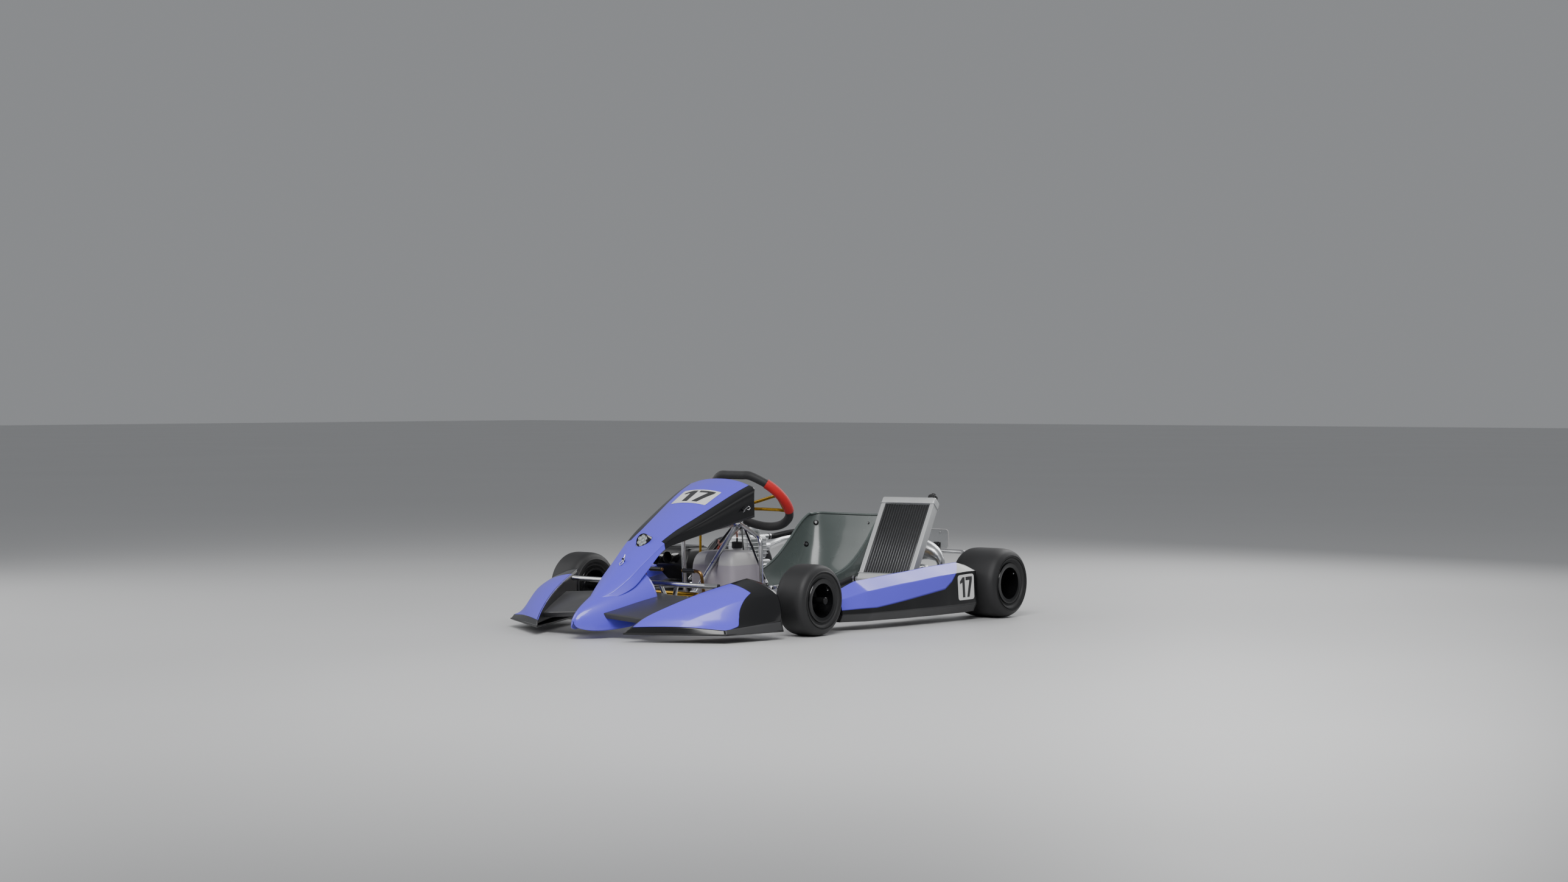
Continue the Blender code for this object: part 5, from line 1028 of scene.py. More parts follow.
def knurled(name, radius, height, base, axis, body, replaces, ribs=24):
    """A screw cap with ribs round its side."""
    bm = bmesh.new()
    spin = Matrix.Translation(base) @ turn_to(axis)
    rings = []
    for t, scale in ((0, 0.97), (0.001, 1), (height - 0.0015, 1), (height, 0.95), (height + 0.0006, 0.62)):
        ring = []
        for i in range(ribs * 4):
            a = 2 * math.pi * i / (ribs * 4)
            r = radius * scale * (1 - (0.045 if i % 4 < 2 else 0.0))
            ring.append(bm.verts.new(spin @ Vector((r * math.cos(a), r * math.sin(a), t))))
        rings.append(ring)
    closed_body(bm, rings)
    return from_bmesh(name, bm, SATIN, body, replaces, 25)


SPOUT_HEIGHT = 0.038
knurled("fuel_cap_fine", 0.020, 0.024, ANCHORS["fuel_cap"], (0, 0, 1), "fuel_cap", ("fuel_cap",))
rod("fuel_cap_spout", 0.0036, ANCHORS["fuel_cap"] + Vector((0, 0, 0.022)),
    ANCHORS["fuel_cap"] + Vector((0, 0, SPOUT_HEIGHT)), GLOSS, "fuel_cap")
block("tank_tap", (0.012, 0.012, 0.016), Vector((-0.070, cap_y - 0.020, 0.276)), SIGNAL, edge=0.003)
tube("tank_return_line", smooth([(-0.070, cap_y - 0.020, 0.284), (-0.082, cap_y - 0.010, 0.304),
            (-0.110, cap_y + 0.020, 0.292), (-0.160, cap_y + 0.030, 0.225),
            (-0.200, cap_y + 0.030, 0.120)]), 0.0032, COPPER, sides=4)

# ---------------------------------------------------------------- radiator
RAD_TURN = Matrix.Rotation(math.radians(10), 4, "Z") @ Matrix.Rotation(math.radians(-37), 4, "X")
RAD_CENTRE = rear(0.358, -0.222, 0.292)
RAD_WIDTH, RAD_CORE, RAD_DEEP, RAD_TANK = 0.226, 0.325, 0.042, 0.032


def rad(x, y, z):
    """A point in the radiator's own frame: x across, y through, z up the core."""
    return RAD_CENTRE + RAD_TURN.to_3x3() @ Vector((x, y, z))


block("radiator_matrix", (RAD_WIDTH - 0.030, RAD_DEEP - 0.012, RAD_CORE), RAD_CENTRE, CORE_AND_OPENING_SHADE,
    replaces=("radiator",), turn=RAD_TURN, edge=0.001)
TUBES, RAD_FRAME = 18, 0.017
for i in range(TUBES):
    x = ((i + 0.5) / TUBES - 0.5) * (RAD_WIDTH - 2 * RAD_FRAME)
    block(f"radiator_tube_{i + 1}", (0.0010, RAD_DEEP - 0.006, RAD_CORE), rad(x, 0, 0), BARS,
        turn=RAD_TURN, edge=0.0003, segments=1)
for sign, label in ((1, "outer"), (-1, "inner")):
    block(f"radiator_side_{label}", (RAD_FRAME, RAD_DEEP, RAD_CORE + 0.004),
        rad(sign * (RAD_WIDTH - RAD_FRAME) / 2, 0, 0), SILVER, turn=RAD_TURN, edge=0.0015)
for sign, label in ((1, "top"), (-1, "bottom")):
    block(f"radiator_tank_{label}", (RAD_WIDTH + 0.004, RAD_DEEP + 0.006, RAD_TANK),
        rad(0, 0, sign * (RAD_CORE + RAD_TANK) / 2), SILVER, turn=RAD_TURN, edge=0.008, segments=5)
    block(f"radiator_seam_{label}", (RAD_WIDTH + 0.0055, RAD_DEEP + 0.0075, 0.003),
        rad(0, 0, sign * (RAD_CORE / 2 + 0.002)), RAW, turn=RAD_TURN, edge=0.001)
rod("radiator_neck", 0.016, rad(0.085, 0.006, RAD_CORE / 2 + RAD_TANK - 0.004),
    rad(0.085, 0.006, RAD_CORE / 2 + RAD_TANK + 0.008), BRUSHED)
up = RAD_TURN.to_3x3() @ Vector((0, 0, 1))
knurled("radiator_cap_fine", 0.019, 0.013, ANCHORS["radiator_cap"], up, "radiator_cap", ("radiator_cap",),
    16)
rod("radiator_cap_knob", 0.009, ANCHORS["radiator_cap"] + up * 0.012, ANCHORS["radiator_cap"] + up * 0.024,
    SATIN, "radiator_cap")
INLET = (-0.075, RAD_DEEP / 2 - 0.004, RAD_CORE / 2 + 0.016)
INLET_WAY, INLET_LENGTH = RAD_TURN.to_3x3() @ Vector((0, 1, 0)), 0.022
rod("radiator_inlet", 0.0105, rad(*INLET), rad(*INLET) + INLET_WAY * INLET_LENGTH, BRUSHED)
rod("radiator_outlet", 0.0105, rad(-0.112, 0, -RAD_CORE / 2 - 0.016),
    rad(-0.128, 0, -RAD_CORE / 2 - 0.016), BRUSHED)
base = Vector((RAIL_REAR_X + 0.012, REAR_Y - 0.150, FRAME_Z + TUBE + GAP))
tube("radiator_bracket_fine", bent([base, base + Vector((0.002, 0, 0.05)),
            rad(0.03, RAD_DEEP / 2 + 0.0084, 0.02)], 0.03), 0.007, CHROME, replaces=("radiator_bracket",))

# ---------------------------------------------------------------- engine
CYLINDER_AT = rear(-0.345, -0.285, 0.1985)
x, y, z = CYLINDER_AT
case_low, case_high = REAR_Y - 0.400, REAR_Y - 0.150
hull("engine_case_body", [(a, b, c) for a, b, c in ((-0.440, case_low + 0.02, 0.092),
            (-0.440, case_high - 0.02, 0.092), (-0.275, case_low + 0.02, 0.092),
            (-0.275, case_high - 0.02, 0.092), (-0.440, case_low, 0.130), (-0.440, case_high, 0.130),
            (-0.275, case_low, 0.130), (-0.275, case_high, 0.130), (-0.430, case_low + 0.03, 0.198),
            (-0.430, case_high - 0.07, 0.198), (-0.280, case_low + 0.03, 0.198),
            (-0.280, case_high - 0.07, 0.198))], RAW, replaces=("engine_case",), edge=0.009, segments=4)
COVER_Y, COVER_Z, CLUTCH_Y, CLUTCH_Z = REAR_Y - 0.300, 0.140, REAR_Y - 0.315, 0.142
rod("engine_cover", 0.052, (-0.452, COVER_Y, COVER_Z), (-0.43, COVER_Y, COVER_Z), RAW, steps=56, edge=0.004)
rod("engine_cover_cap", 0.026, (-0.4548, COVER_Y, COVER_Z), (-0.450, COVER_Y, COVER_Z), BLACK_METAL,
    steps=40)
rod("clutch_cover", 0.044, (-0.226, CLUTCH_Y, CLUTCH_Z), (-0.29, CLUTCH_Y, CLUTCH_Z), RAW, steps=56,
    edge=0.004)
rod("output_shaft", 0.0078, (-0.250, ANCHORS["engine_sprocket"].y, ANCHORS["engine_sprocket"].z),
    (-0.292, ANCHORS["engine_sprocket"].y, 0.132), STEEL)
for i, dy in enumerate((-0.345, -0.205)):
    block(f"engine_foot_{i + 1}", (0.040, 0.034, 0.030),
        (-RAIL_REAR_X - 0.004, REAR_Y + dy, FRAME_Z + TUBE + 0.0152), RAW, edge=0.002)
for i in range(6):
    a = math.radians(60 * i + 30)
    bolt(f"cover_bolt_{i + 1}", (-0.452, COVER_Y + 0.045 * math.cos(a), COVER_Z + 0.045 * math.sin(a)),
        (-1, 0, 0), 0.0034)
    bolt(f"clutch_bolt_{i + 1}", (-0.226, CLUTCH_Y + 0.037 * math.cos(a), CLUTCH_Z + 0.037 * math.sin(a)),
        (1, 0, 0), 0.0034)
hull("cylinder_block", [(x + sx * w, y + sy * d, z + h) for sx in (1, -1) for sy in (1, -1)
        for w, d, h in ((0.052, 0.058, 0.0004), (0.056, 0.060, 0.02), (0.056, 0.058, 0.090),
            (0.048, 0.050, 0.100))], RAW, replaces=("engine_cylinder",), edge=0.010, segments=4)
for i in range(5):
    h = 0.022 + i * 0.015
    block(f"cylinder_rib_{i + 1}", (0.1175, 0.1215, 0.0026), (x, y, z + h), RAW, edge=0.0012, segments=2)
lathe("cylinder_head", [(0.004, 0.094), (0.052, 0.094), (0.0545, 0.098), (0.054, 0.117), (0.050, 0.128),
        (0.041, 0.1335), (0.004, 0.1345)], Vector((x, y, z)), (0, 0, 1), RAW, steps=72)
lathe("head_dome", [(0.003, 0.125), (0.022, 0.125), (0.0215, 0.136), (0.017, 0.1425), (0.003, 0.1435)],
    Vector((x, y - 0.01, z)), (0, 0, 1), BRUSHED, steps=48)
for i in range(8):
    a = math.radians(45 * i)
    bolt(f"head_bolt_{i + 1}", (x + 0.042 * math.cos(a), y + 0.042 * math.sin(a), z + 0.1325), (0, 0, 1),
        0.0046, finish=BLACK_METAL)
rod("spark_cap", 0.0085, (x, y - 0.01, z + 0.1415), (x, y - 0.01, z + 0.1495), SATIN)
rod("exhaust_port", 0.021, (x + 0.010, y + 0.05, z + 0.045), (x + 0.010, y + 0.078, z + 0.045), RAW)
rod("water_outlet", 0.011, (x + 0.040, y + 0.045, z + 0.088), (x + 0.044, y + 0.074, z + 0.088), BRUSHED)
tube("spark_lead", smooth([(x, y - 0.014, z + 0.1455), (x + 0.010, y - 0.045, z + 0.138),
            (x + 0.040, y - 0.080, z + 0.080), (x + 0.052, y - 0.085, z + 0.020),
            (x + 0.050, y - 0.080, z - 0.030)]), 0.0032, HOSE, sides=4)

cx, cy, cz = -0.372, REAR_Y - 0.385, 0.166
block("carburettor_body", (0.052, 0.052, 0.060), (cx, cy - 0.055, cz), RAW, replaces=("carburettor",),
    edge=0.007, segments=4)
rod("carburettor_throat", 0.022, (cx, cy - 0.0164, cz), (cx, cy - 0.100, cz), BRUSHED, steps=40)
rod("carburettor_bowl", 0.020, (cx, cy - 0.055, cz - 0.050), (cx, cy - 0.055, cz - 0.02), RAW, steps=40,
    edge=0.003)
rod("carburettor_top", 0.017, (cx, cy - 0.055, cz + 0.025), (cx, cy - 0.055, cz + 0.062), SATIN, steps=40,
    edge=0.003)
tube("throttle_cable", smooth([(cx, cy - 0.055, cz + 0.062), (cx, cy - 0.058, cz + 0.100),
            (cx + 0.030, cy - 0.110, cz + 0.115), (-0.250, FRONT_Y + 0.300, 0.180),
            (-0.215, FRONT_Y + 0.180, 0.088), (-0.192, FRONT_Y + 0.060, 0.072),
            (-0.150, FRONT_Y - 0.045, 0.080)]), 0.0024, HOSE, sides=4)
by = REAR_Y - 0.490
b0 = by - 0.140
hull("airbox_shell", [(a, b, c) for a, b, c in ((-0.505, b0 + 0.04, 0.128), (-0.375, b0 + 0.04, 0.128),
            (-0.505, by, 0.128), (-0.375, by, 0.128), (-0.525, b0 - 0.02, 0.190),
            (-0.355, b0 - 0.02, 0.190), (-0.525, b0 + 0.01, 0.250), (-0.365, b0 + 0.01, 0.250),
            (-0.515, b0 + 0.02, 0.258), (-0.375, b0 + 0.02, 0.258), (-0.515, by - 0.01, 0.258),
            (-0.375, by - 0.01, 0.258), (-0.525, by, 0.245), (-0.360, by, 0.245))], SATIN,
    replaces=("airbox",), edge=0.008, segments=4)
block("airbox_lid", (0.120, 0.092, 0.005), (-0.445, by - 0.062, 0.2600), STRIP, edge=0.0022)
for i, (tx, tz) in enumerate(((-0.482, 0.215), (-0.418, 0.222))):
    lathe(f"airbox_trumpet_{i + 1}", rounded([(0.0175, 0.05), (0.0200, 0.05), (0.0200, 0.010),
                (0.0235, 0.0), (0.0228, -0.002), (0.0175, 0.010)], 0.3, 1), Vector((tx, b0 - 0.060, tz)),
        (0, 1, 0), GLOSS, steps=56)
    # a dark disc inside each trumpet, painted shade of its bore
    rod(f"airbox_mouth_shade_{i + 1}", 0.0172, (tx, b0 - 0.018, tz), (tx, b0 - 0.024, tz), CORE_AND_OPENING_SHADE)
route = smooth([(x + 0.010, y + 0.108, z + 0.045), (x - 0.03, y + 0.20, z + 0.052),
        rear(-0.400, 0.02, 0.262), rear(-0.372, 0.105, 0.252), rear(-0.290, 0.150, 0.246),
        rear(-0.150, 0.158, 0.242), rear(0.020, 0.158, 0.242), rear(0.150, 0.158, 0.240),
        rear(0.235, 0.158, 0.232), rear(0.283, 0.158, 0.205), rear(0.292, 0.158, 0.168),
        rear(0.262, 0.158, 0.140)], 8)
route = [Vector((x + 0.010, y + 0.0792, z + 0.045)), *route, rear(0.236, 0.158, 0.140)]
# share of the pipe's length and how much thicker it is there
GIRTH = ((0, 1.0), (0.18, 1.03), (0.30, 1.2), (0.42, 1.75), (0.50, 2.35), (0.60, 2.5), (0.68, 2.4),
    (0.76, 1.7), (0.82, 1.05), (0.88, 0.86), (1, 0.85))
tube("exhaust_pipe_fine", route, 0.0185, BRUSHED, replaces=("exhaust_pipe",), sides=10,
    radii=[between(GIRTH, i / (len(route) - 1)) for i in range(len(route))])
sil_a, sil_b = rear(0.2348, 0.158, 0.140), rear(-0.020, 0.158, 0.140)
lathe("silencer_can", [(0.017, 0), (0.034, 0.013), (0.036, 0.018), (0.036, 0.246), (0.034, 0.252),
        (0.010, 0.2546)], sil_a, (-1, 0, 0), BRUSHED, replaces=("silencer",), steps=64, closed=False)
rod("silencer_stub", 0.012, sil_b + Vector((0.004, 0, 0)), sil_b + Vector((-0.035, 0, 0)), BRUSHED)
for i, t in enumerate((0.030, 0.225)):
    lathe(f"silencer_band_{i + 1}", [(0.0360, t), (0.0368, t), (0.0368, t + 0.010), (0.0360, t + 0.010)],
        sil_a, (-1, 0, 0), STEEL, steps=64)

# ---------------------------------------------------------------- hoses and lines
sideways = RAD_TURN.to_3x3() @ Vector((-1, 0, 0))
inlet = rad(*INLET) + INLET_WAY * (INLET_LENGTH + HOSE_GAP)
first = Vector((x + 0.044, y + 0.0752, z + 0.088))
upper = [first + Vector((0.004, 0.029, 0)), rear(-0.262, -0.120, 0.300), rear(-0.215, -0.030, 0.312),
    rear(-0.120, -0.002, 0.320), rear(0.0, -0.002, 0.325), rear(0.110, -0.004, 0.335),
    rear(0.190, -0.020, 0.362), rear(0.240, -0.052, 0.388), inlet + INLET_WAY * 0.022]
tube("water_hose_upper_fine", [first, *smooth(upper), inlet], HOSE_RADIUS, HOSE,
    replaces=("water_hose_upper",), sides=8)
outlet = rad(-0.128, 0, -RAD_CORE / 2 - 0.016) + sideways * HOSE_GAP
lower = [outlet + sideways * 0.016, (0.214, SEAT_Y + 0.085, 0.125), (0.212, SEAT_Y - 0.010, 0.100),
    (0.140, SEAT_Y - 0.090, 0.100), (0.0, SEAT_Y - 0.098, 0.100), (-0.140, SEAT_Y - 0.092, 0.100),
    (-0.225, SEAT_Y - 0.060, 0.100), (-0.292, SEAT_Y + 0.040, 0.112), (-0.306, SEAT_Y + 0.100, 0.124)]
tube("water_hose_lower_fine", [outlet, *smooth(lower), Vector((-0.306, REAR_Y - 0.400 - HOSE_GAP, 0.124))],
    HOSE_RADIUS, HOSE, replaces=("water_hose_lower",), sides=8)
for i, (place, along) in enumerate(((inlet, INLET_WAY), (outlet, sideways), (first, Vector((0, 1, 0))))):
    lathe(f"hose_clamp_{i + 1}", [(HOSE_RADIUS + out, t)
            for out, t in ((0.0001, 0.004), (0.0011, 0.004), (0.0011, 0.012), (0.0001, 0.012))], place,
        along, STEEL, steps=40)
cap_top = ANCHORS["fuel_cap"].z + SPOUT_HEIGHT + HOSE_GAP
carb = Vector((-0.3448, REAR_Y - 0.440, 0.166))
line = [(0, cap_y, cap_top + 0.014), (-0.02, cap_y + 0.022, cap_top + 0.020),
    (-0.09, cap_y + 0.040, 0.300), (-0.160, cap_y + 0.055, 0.262), (-0.245, cap_y + 0.112, 0.235),
    (-0.298, cap_y + 0.168, 0.200), (-0.318, cap_y + 0.24, 0.174), carb + Vector((0.012, 0, 0))]
tube("fuel_line_fine", [Vector((0, cap_y, cap_top)), *smooth(line), carb], LINE_RADIUS, COPPER,
    replaces=("fuel_line",), sides=4)

# ---------------------------------------------------------------- brakes, pedals, axle, tail
axle = REAR_AXLE
half = axle.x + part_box("rear_axle")[1].x
lathe("rear_axle_fine", [(AXLE_RADIUS - 0.0045, -half), (AXLE_RADIUS - 0.0005, -half),
        (AXLE_RADIUS, -half + 0.001), (AXLE_RADIUS, half - 0.001), (AXLE_RADIUS - 0.0005, half),
        (AXLE_RADIUS - 0.0045, half)], Vector((0, REAR_Y, axle.z)), (1, 0, 0), STEEL, "rear_axle",
    ("rear_axle",), steps=72)


def drilled_disc(name, radius, half_thick, centre, finish, body, replaces, teeth=0, holes=24):
    """A flat disc with rings of holes drawn as dark plugs of painted shade, and teeth if it is a sprocket.
    """
    bm = bmesh.new()
    steps = teeth * 4 if teeth else 96
    outer, inner = [], []
    for i in range(steps):
        a = 2 * math.pi * i / steps
        r = radius - (0.0026 if teeth and i % 4 in (0, 3) else 0.0)
        outer.append((r * math.cos(a), r * math.sin(a)))
        inner.append((0.042 * math.cos(a), 0.042 * math.sin(a)))
    rows = []
    for x_at in (-half_thick, half_thick):
        rows.append([[bm.verts.new((centre.x + x_at, centre.y + p[0], centre.z + p[1])) for p in loop]
                for loop in (inner, outer)])
    (li, lo), (hi, ho) = rows
    for i in range(steps):
        j = (i + 1) % steps
        bm.faces.new((lo[i], lo[j], ho[j], ho[i]))
        bm.faces.new((hi[i], hi[j], li[j], li[i]))
        bm.faces.new((li[i], li[j], lo[j], lo[i]))
        bm.faces.new((ho[i], ho[j], hi[j], hi[i]))
    obj = from_bmesh(name, bm, finish, body, replaces, 30)
    for k in range(holes):
        a = 2 * math.pi * k / holes
        out = radius * (0.90 if teeth else (0.66, 0.84)[k % 2])
        place = Vector((centre.x, centre.y + out * 0.86 * math.cos(a), centre.z + out * 0.86 * math.sin(a)))
        # these dark plugs are painted shade standing in for see-through holes
        lathe(f"{name}_hole_shade_{k + 1}", [(0.0004, -half_thick - 0.0002), (0.0042, -half_thick - 0.0002),
                (0.0042, half_thick + 0.0002), (0.0004, half_thick + 0.0002)], place, (1, 0, 0), CORE_AND_OPENING_SHADE,
            body, steps=14)
    hub = [(0.0254, -0.016), (0.0374, -0.016), (0.0374, -half_thick), (0.0435, -half_thick - 0.0015),
        (0.0435, half_thick + 0.0015), (0.0374, 0.014), (0.0254, 0.014)]
    lathe(f"{name}_carrier", hub, centre, (1, 0, 0), BLACK_METAL, body, steps=48)
    return obj


drilled_disc("brake_disc_fine", 0.092, 0.0033, Vector((0.236, REAR_Y, axle.z)), STEEL, "rear_axle",
    ("brake_disc",), holes=18)
drilled_disc("axle_sprocket_fine", 0.0817, 0.0028, Vector((-0.262, REAR_Y, axle.z)), RAW, "rear_axle",
    ("axle_sprocket",), teeth=66, holes=12)
SMALL_PLACE = ANCHORS["engine_sprocket"]
lathe("engine_sprocket_fine", [(0.0085, -0.009), (0.0155, -0.009), (0.016, -0.003), (0.0228, -0.0028),
        (0.0232, 0.0), (0.0228, 0.0028), (0.016, 0.003), (0.0155, 0.009), (0.0085, 0.009)], SMALL_PLACE,
    (1, 0, 0), STEEL, "engine_sprocket", ("engine_sprocket",), steps=38, angle=25)


def chain_links():
    """Roller chain: plates and rollers laid along the belt around both sprockets."""
    big = Vector((-0.262, REAR_Y, axle.z))
    small, pitch = SMALL_PLACE, 0.007775
    r1, r2 = pitch / 2 / math.sin(math.pi / 66) + 0.0038, pitch / 2 / math.sin(math.pi / 19) + 0.0038
    span = big - small
    lean, heading = math.asin((r1 - r2) / span.length), math.atan2(span.z, span.y)
    path = []
    for centre, radius, start, sweep in ((big, r1, -(math.pi / 2 + lean), math.pi + 2 * lean),
            (small, r2, math.pi / 2 + lean, math.pi - 2 * lean)):
        path += [centre + Vector((0, math.cos(heading + start + sweep * i / 60),
                    math.sin(heading + start + sweep * i / 60))) * radius for i in range(61)]
    path.append(path[0])
    length = sum((b - a).length for a, b in zip(path, path[1:]))
    count = int(length / pitch / 2) * 2
    spots, want, walked = [], 0.0, 0.0
    for a, b in zip(path, path[1:]):
        step = (b - a).length
        while want <= walked + step and len(spots) < count:
            spots.append(a.lerp(b, (want - walked) / step if step else 0))
            want += length / count
        walked += step
    bm = bmesh.new()
    for i, spot in enumerate(spots):
        nxt = spots[(i + 1) % count]
        along = (nxt - spot).normalized()
        out = Vector((1, 0, 0))
        up_dir = along.cross(out)
        place = Matrix((along, out, up_dir)).transposed().to_4x4()
        for sx in (-1, 1):
            offset = (0.0040 if i % 2 else 0.0032) * sx
            shape = Matrix.Translation((spot + nxt) / 2 + out * offset) @ place
            bmesh.ops.create_cube(bm, size=1, matrix=shape
                    @ Matrix.Diagonal((pitch * 1.55, 0.0008, 0.0050, 1)))
        bmesh.ops.create_cone(bm, cap_ends=True, segments=10, radius1=0.0023, radius2=0.0023, depth=0.0075,
                              matrix=Matrix.Translation(spot) @ turn_to((1, 0, 0)))
    return from_bmesh("chain_fine", bm, STEEL, replaces=("chain",), angle=30)


chain_links()
for label, side in SIDES:
    lathe(f"bearing_carrier_{label}_fine", [(0.0362, -0.015), (0.047, -0.015), (0.0485, -0.013),
            (0.0485, 0.013), (0.047, 0.015), (0.0362, 0.015)],
        Vector((side * RAIL_REAR_X, REAR_Y, axle.z)), (1, 0, 0), RAW,
        replaces=(f"bearing_carrier_{label}",), steps=72)
    lathe(f"bearing_{label}", [(0.0258, -0.010), (0.0360, -0.010), (0.0360, 0.010), (0.0258, 0.010)],
        Vector((side * RAIL_REAR_X, REAR_Y, axle.z)), (1, 0, 0), STEEL, steps=72)
    for i in range(3):
        a = math.radians(120 * i + 90)
        bolt(f"carrier_bolt_{label}_{i + 1}", (side * (RAIL_REAR_X + 0.015), REAR_Y + 0.042 * math.cos(a),
                axle.z + 0.042 * math.sin(a)), (side, 0, 0), 0.0036)
    spindle, kingpin, axis = f"spindle_{label}", ANCHORS[f"spindle_{label}"], AXES[f"spindle_{label}"]
    rod(f"spindle_{label}_sleeve", 0.0135, kingpin - axis * 0.0412, kingpin + axis * 0.0412, STEEL,
        spindle, (spindle,), steps=40)
    rod(f"spindle_{label}_shaft", 0.0124, kingpin, kingpin + Vector((side * 0.190, 0, 0)), BLACK_METAL,
        spindle, steps=40, edge=0.002)
    arm_root = kingpin - axis * 0.022
    arm_tip = ANCHORS[f"tie_rod_{label}"] - Vector((0, 0, 0.016))
    tube(f"spindle_{label}_arm", [arm_root, arm_tip + Vector((0, 0.010, 0))], 0.006, STEEL, spindle)
    inner = COLUMN_POINT - COLUMN_AXIS * 0.318 + Vector((side * 0.018, 0, 0)) - COLUMN_UP * 0.044
    joint = ANCHORS[f"tie_rod_{label}"]
    rod_body = f"tie_rod_{label}"
    tube(f"tie_rod_{label}_shaft", [joint, inner], 0.0052, GOLD, rod_body, (rod_body,))
    for t in (0.10, 0.90):
        spot, away = joint.lerp(inner, t), (inner - joint).normalized()
        rod(f"tie_rod_{label}_nut_{int(t * 10)}", 0.0075, spot - away * 0.004, spot + away * 0.004, STEEL,
            rod_body, steps=6, edge=0.0004)
    lathe(f"tie_rod_{label}_eye", rounded([(0.0045, -0.0062), (0.0105, -0.0062), (0.0105, 0.006),
                (0.0045, 0.006)], 0.3, 1), joint, (0, 0, 1), STEEL, rod_body, steps=36)
    lathe(f"tie_rod_{label}_inner_eye", rounded([(0.0045, -0.006), (0.010, -0.006), (0.010, 0.006),
                (0.0045, 0.006)], 0.3, 1), inner, COLUMN_AXIS, STEEL, rod_body, steps=36)
    name = "brake_pedal" if side > 0 else "throttle_pedal"
    pivot = ANCHORS[name]
    path = [(0.138, pivot.y, pivot.z), (0.138, pivot.y - 0.030, 0.216), (0.048, pivot.y - 0.030, 0.216)]
    tube(f"{name}_rod", sided(bent(path, 0.024), side), 0.0060, BRONZE, name, (name,), sides=8)
    rod(f"{name}_eye", 0.011, pivot - Vector((0.010, 0, 0)), pivot + Vector((0.010, 0, 0)), BRONZE, name,
        steps=40, edge=0.0015)
    rod(f"{name}_grip", 0.0078, (side * 0.052, pivot.y - 0.030, 0.216),
        (side * 0.108, pivot.y - 0.030, 0.216), SATIN, name, steps=28)

for node, finish in (("floor_tray", BRUSHED), ("brake_caliper", GOLD), ("steering_column", BRUSHED),
        ("master_cylinder", RAW)):
    obj = frame["nodes"][node]
    obj.data.materials.clear()
    obj.data.materials.append(finish)
    bevelled(obj, 0.0012, 2, 50)
lever = ANCHORS["gear_lever"]
bend_at, top_at = Vector((lever.x, lever.y, 0.382)), Vector((lever.x + 0.020, lever.y - 0.008, 0.436))
tube("gear_lever_rod", bent([lever, bend_at, top_at], 0.03), 0.0048, GOLD, "gear_lever", ("gear_lever",),
    sides=6)
rod("gear_lever_eye", 0.010, lever - Vector((0.008, 0, 0)), lever + Vector((0.008, 0, 0)), GOLD,
    "gear_lever", steps=32, edge=0.0012)
heading = (top_at - bend_at).normalized()
lathe("gear_lever_knob", rounded([(0.003, -0.012), (0.009, -0.012), (0.012, 0.000), (0.0115, 0.014),
            (0.003, 0.018)], 0.35, 2), top_at, heading, SATIN, "gear_lever", steps=40)
PLATE_WALL = 0.003
plate_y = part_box("rear_plate")[1].y - PLATE_WALL / 2
bm = bmesh.new()
outline = round_plate(0.110, 0.039, 0.014)
centre = Vector(((0.030 + 0.250) / 2, plate_y, 0.274))
rings = [[bm.verts.new(centre + Vector((a, dy, b))) for a, b in outline]
    for dy in (-PLATE_WALL / 2, PLATE_WALL / 2)]
closed_body(bm, rings)
from_bmesh("rear_plate_clear", bm, CLEAR, replaces=("rear_plate",))
# a pale rim of painted highlight along the clear plate's edge
tube("rear_plate_edge_highlight", [centre + Vector((a, 0, b)) for a, b in outline], 0.0014, MILKY_AND_EDGE_HIGHLIGHT, closed=True,
    sides=3)
block("rear_plate_foot", (0.030, 0.012, 0.026), (0.20, plate_y - 0.0075, 0.249), GLOSS, edge=0.003)
for i, dx in enumerate((-0.07, 0.07)):
    bolt(f"rear_plate_bolt_{i + 1}", (0.14 + dx, plate_y - 0.0015, 0.300), (0, -1, 0), 0.0036)
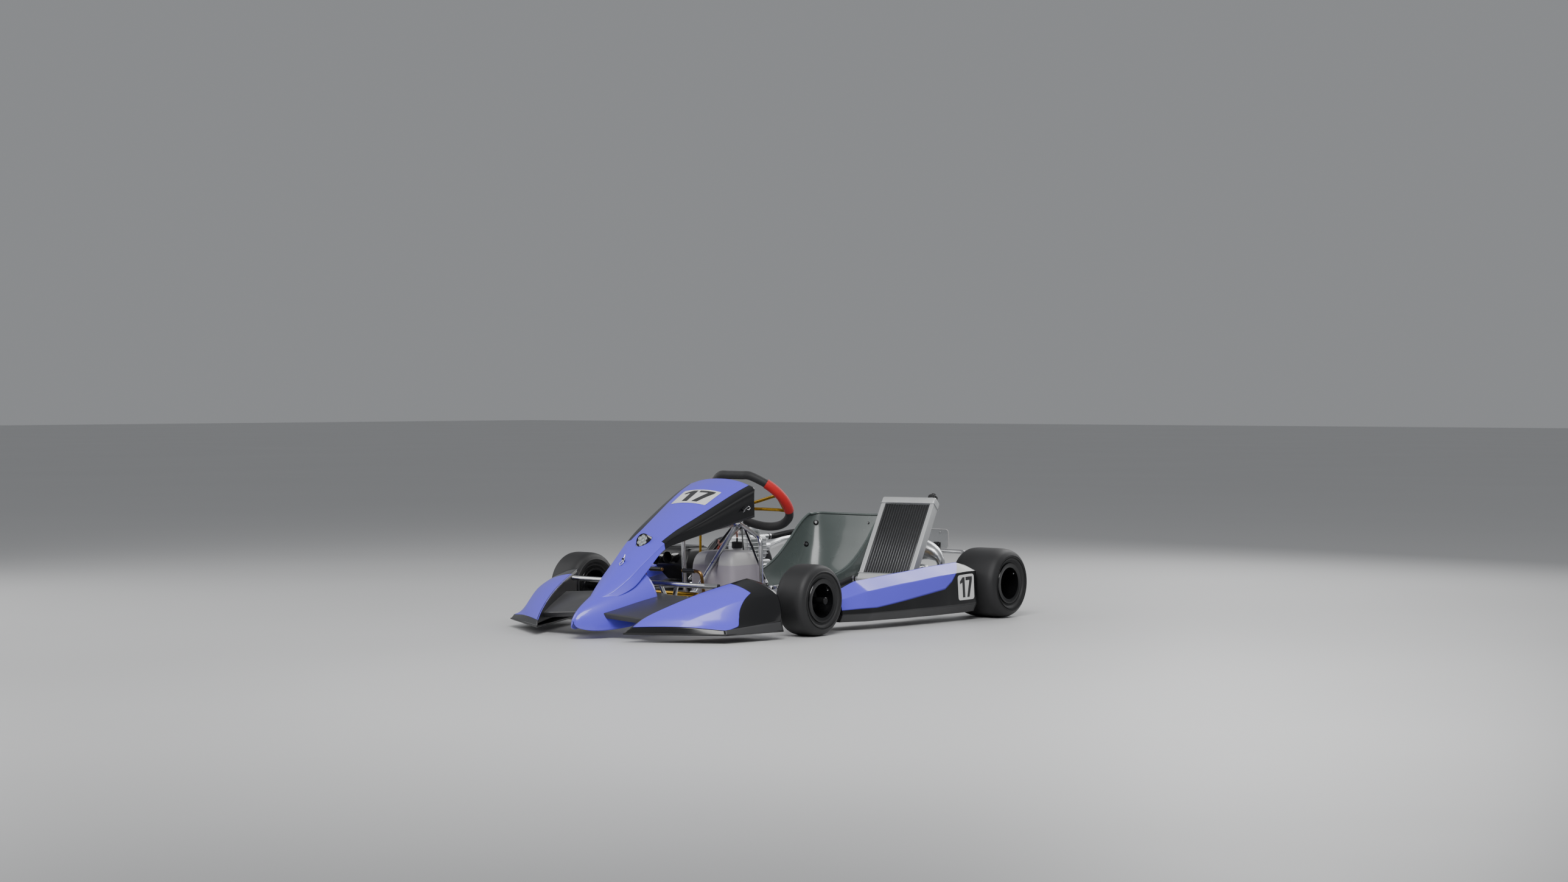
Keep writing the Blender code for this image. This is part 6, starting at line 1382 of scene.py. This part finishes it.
tube("brake_line", smooth([(0.138, FRONT_Y + 0.020, 0.116), (0.150, FRONT_Y + 0.036, 0.078),
            (0.170, FRONT_Y + 0.062, 0.070), (0.205, WAIST_Y, 0.076), (0.285, SEAT_Y + 0.050, 0.084),
            (0.275, REAR_Y - 0.160, 0.090), (0.250, REAR_Y - 0.090, 0.160),
            (0.236, REAR_Y - 0.084, 0.200)]), 0.0026, COPPER, sides=4)

# ---------------------------------------------------------------- stage, light and camera
bm = bmesh.new()
bmesh.ops.create_grid(bm, x_segments=1, y_segments=1, size=60)
floor_mesh = bpy.data.meshes.new("floor")
bm.to_mesh(floor_mesh)
bm.free()
floor = bpy.data.objects.new("floor", floor_mesh)
bpy.context.scene.collection.objects.link(floor)
floor.data.materials.append(surface("floor_paint", (0.62, 0.62, 0.62), 0.45, grain=4, colour_vary=0.02,
        bump=0.01))

world = bpy.data.worlds.new("studio")
bpy.context.scene.world = world
world.use_nodes = True
world.node_tree.nodes["Background"].inputs["Color"].default_value = (0.80, 0.82, 0.85, 1)
world.node_tree.nodes["Background"].inputs["Strength"].default_value = 0.33
for name, place, size, power in (("key", (2.2, -2.6, 3.4), 2.4, 175), ("fill", (-3.4, -2.0, 2.2), 3.0, 60),
        ("back", (0.5, 3.4, 2.6), 2.6, 90)):
    lamp = bpy.data.lights.new(name, "AREA")
    lamp.size = size
    lamp.energy = power
    obj = bpy.data.objects.new(name, lamp)
    obj.location = place
    obj.rotation_mode = "QUATERNION"
    obj.rotation_quaternion = (Vector(place) - Vector((0, 0, 0.2))).to_track_quat("Z", "Y")
    bpy.context.scene.collection.objects.link(obj)

# the camera stands where the photograph was taken from
LENS = 55.9
camera_data = bpy.data.cameras.new("camera")
camera_data.lens = LENS
camera = bpy.data.objects.new("camera", camera_data)
camera.location = (5.8698, FRONT_Y - 6.8319, 0.8456)
camera.rotation_euler = (math.radians(88.99), 0, math.radians(38.50))
bpy.context.scene.collection.objects.link(camera)
bpy.context.scene.camera = camera
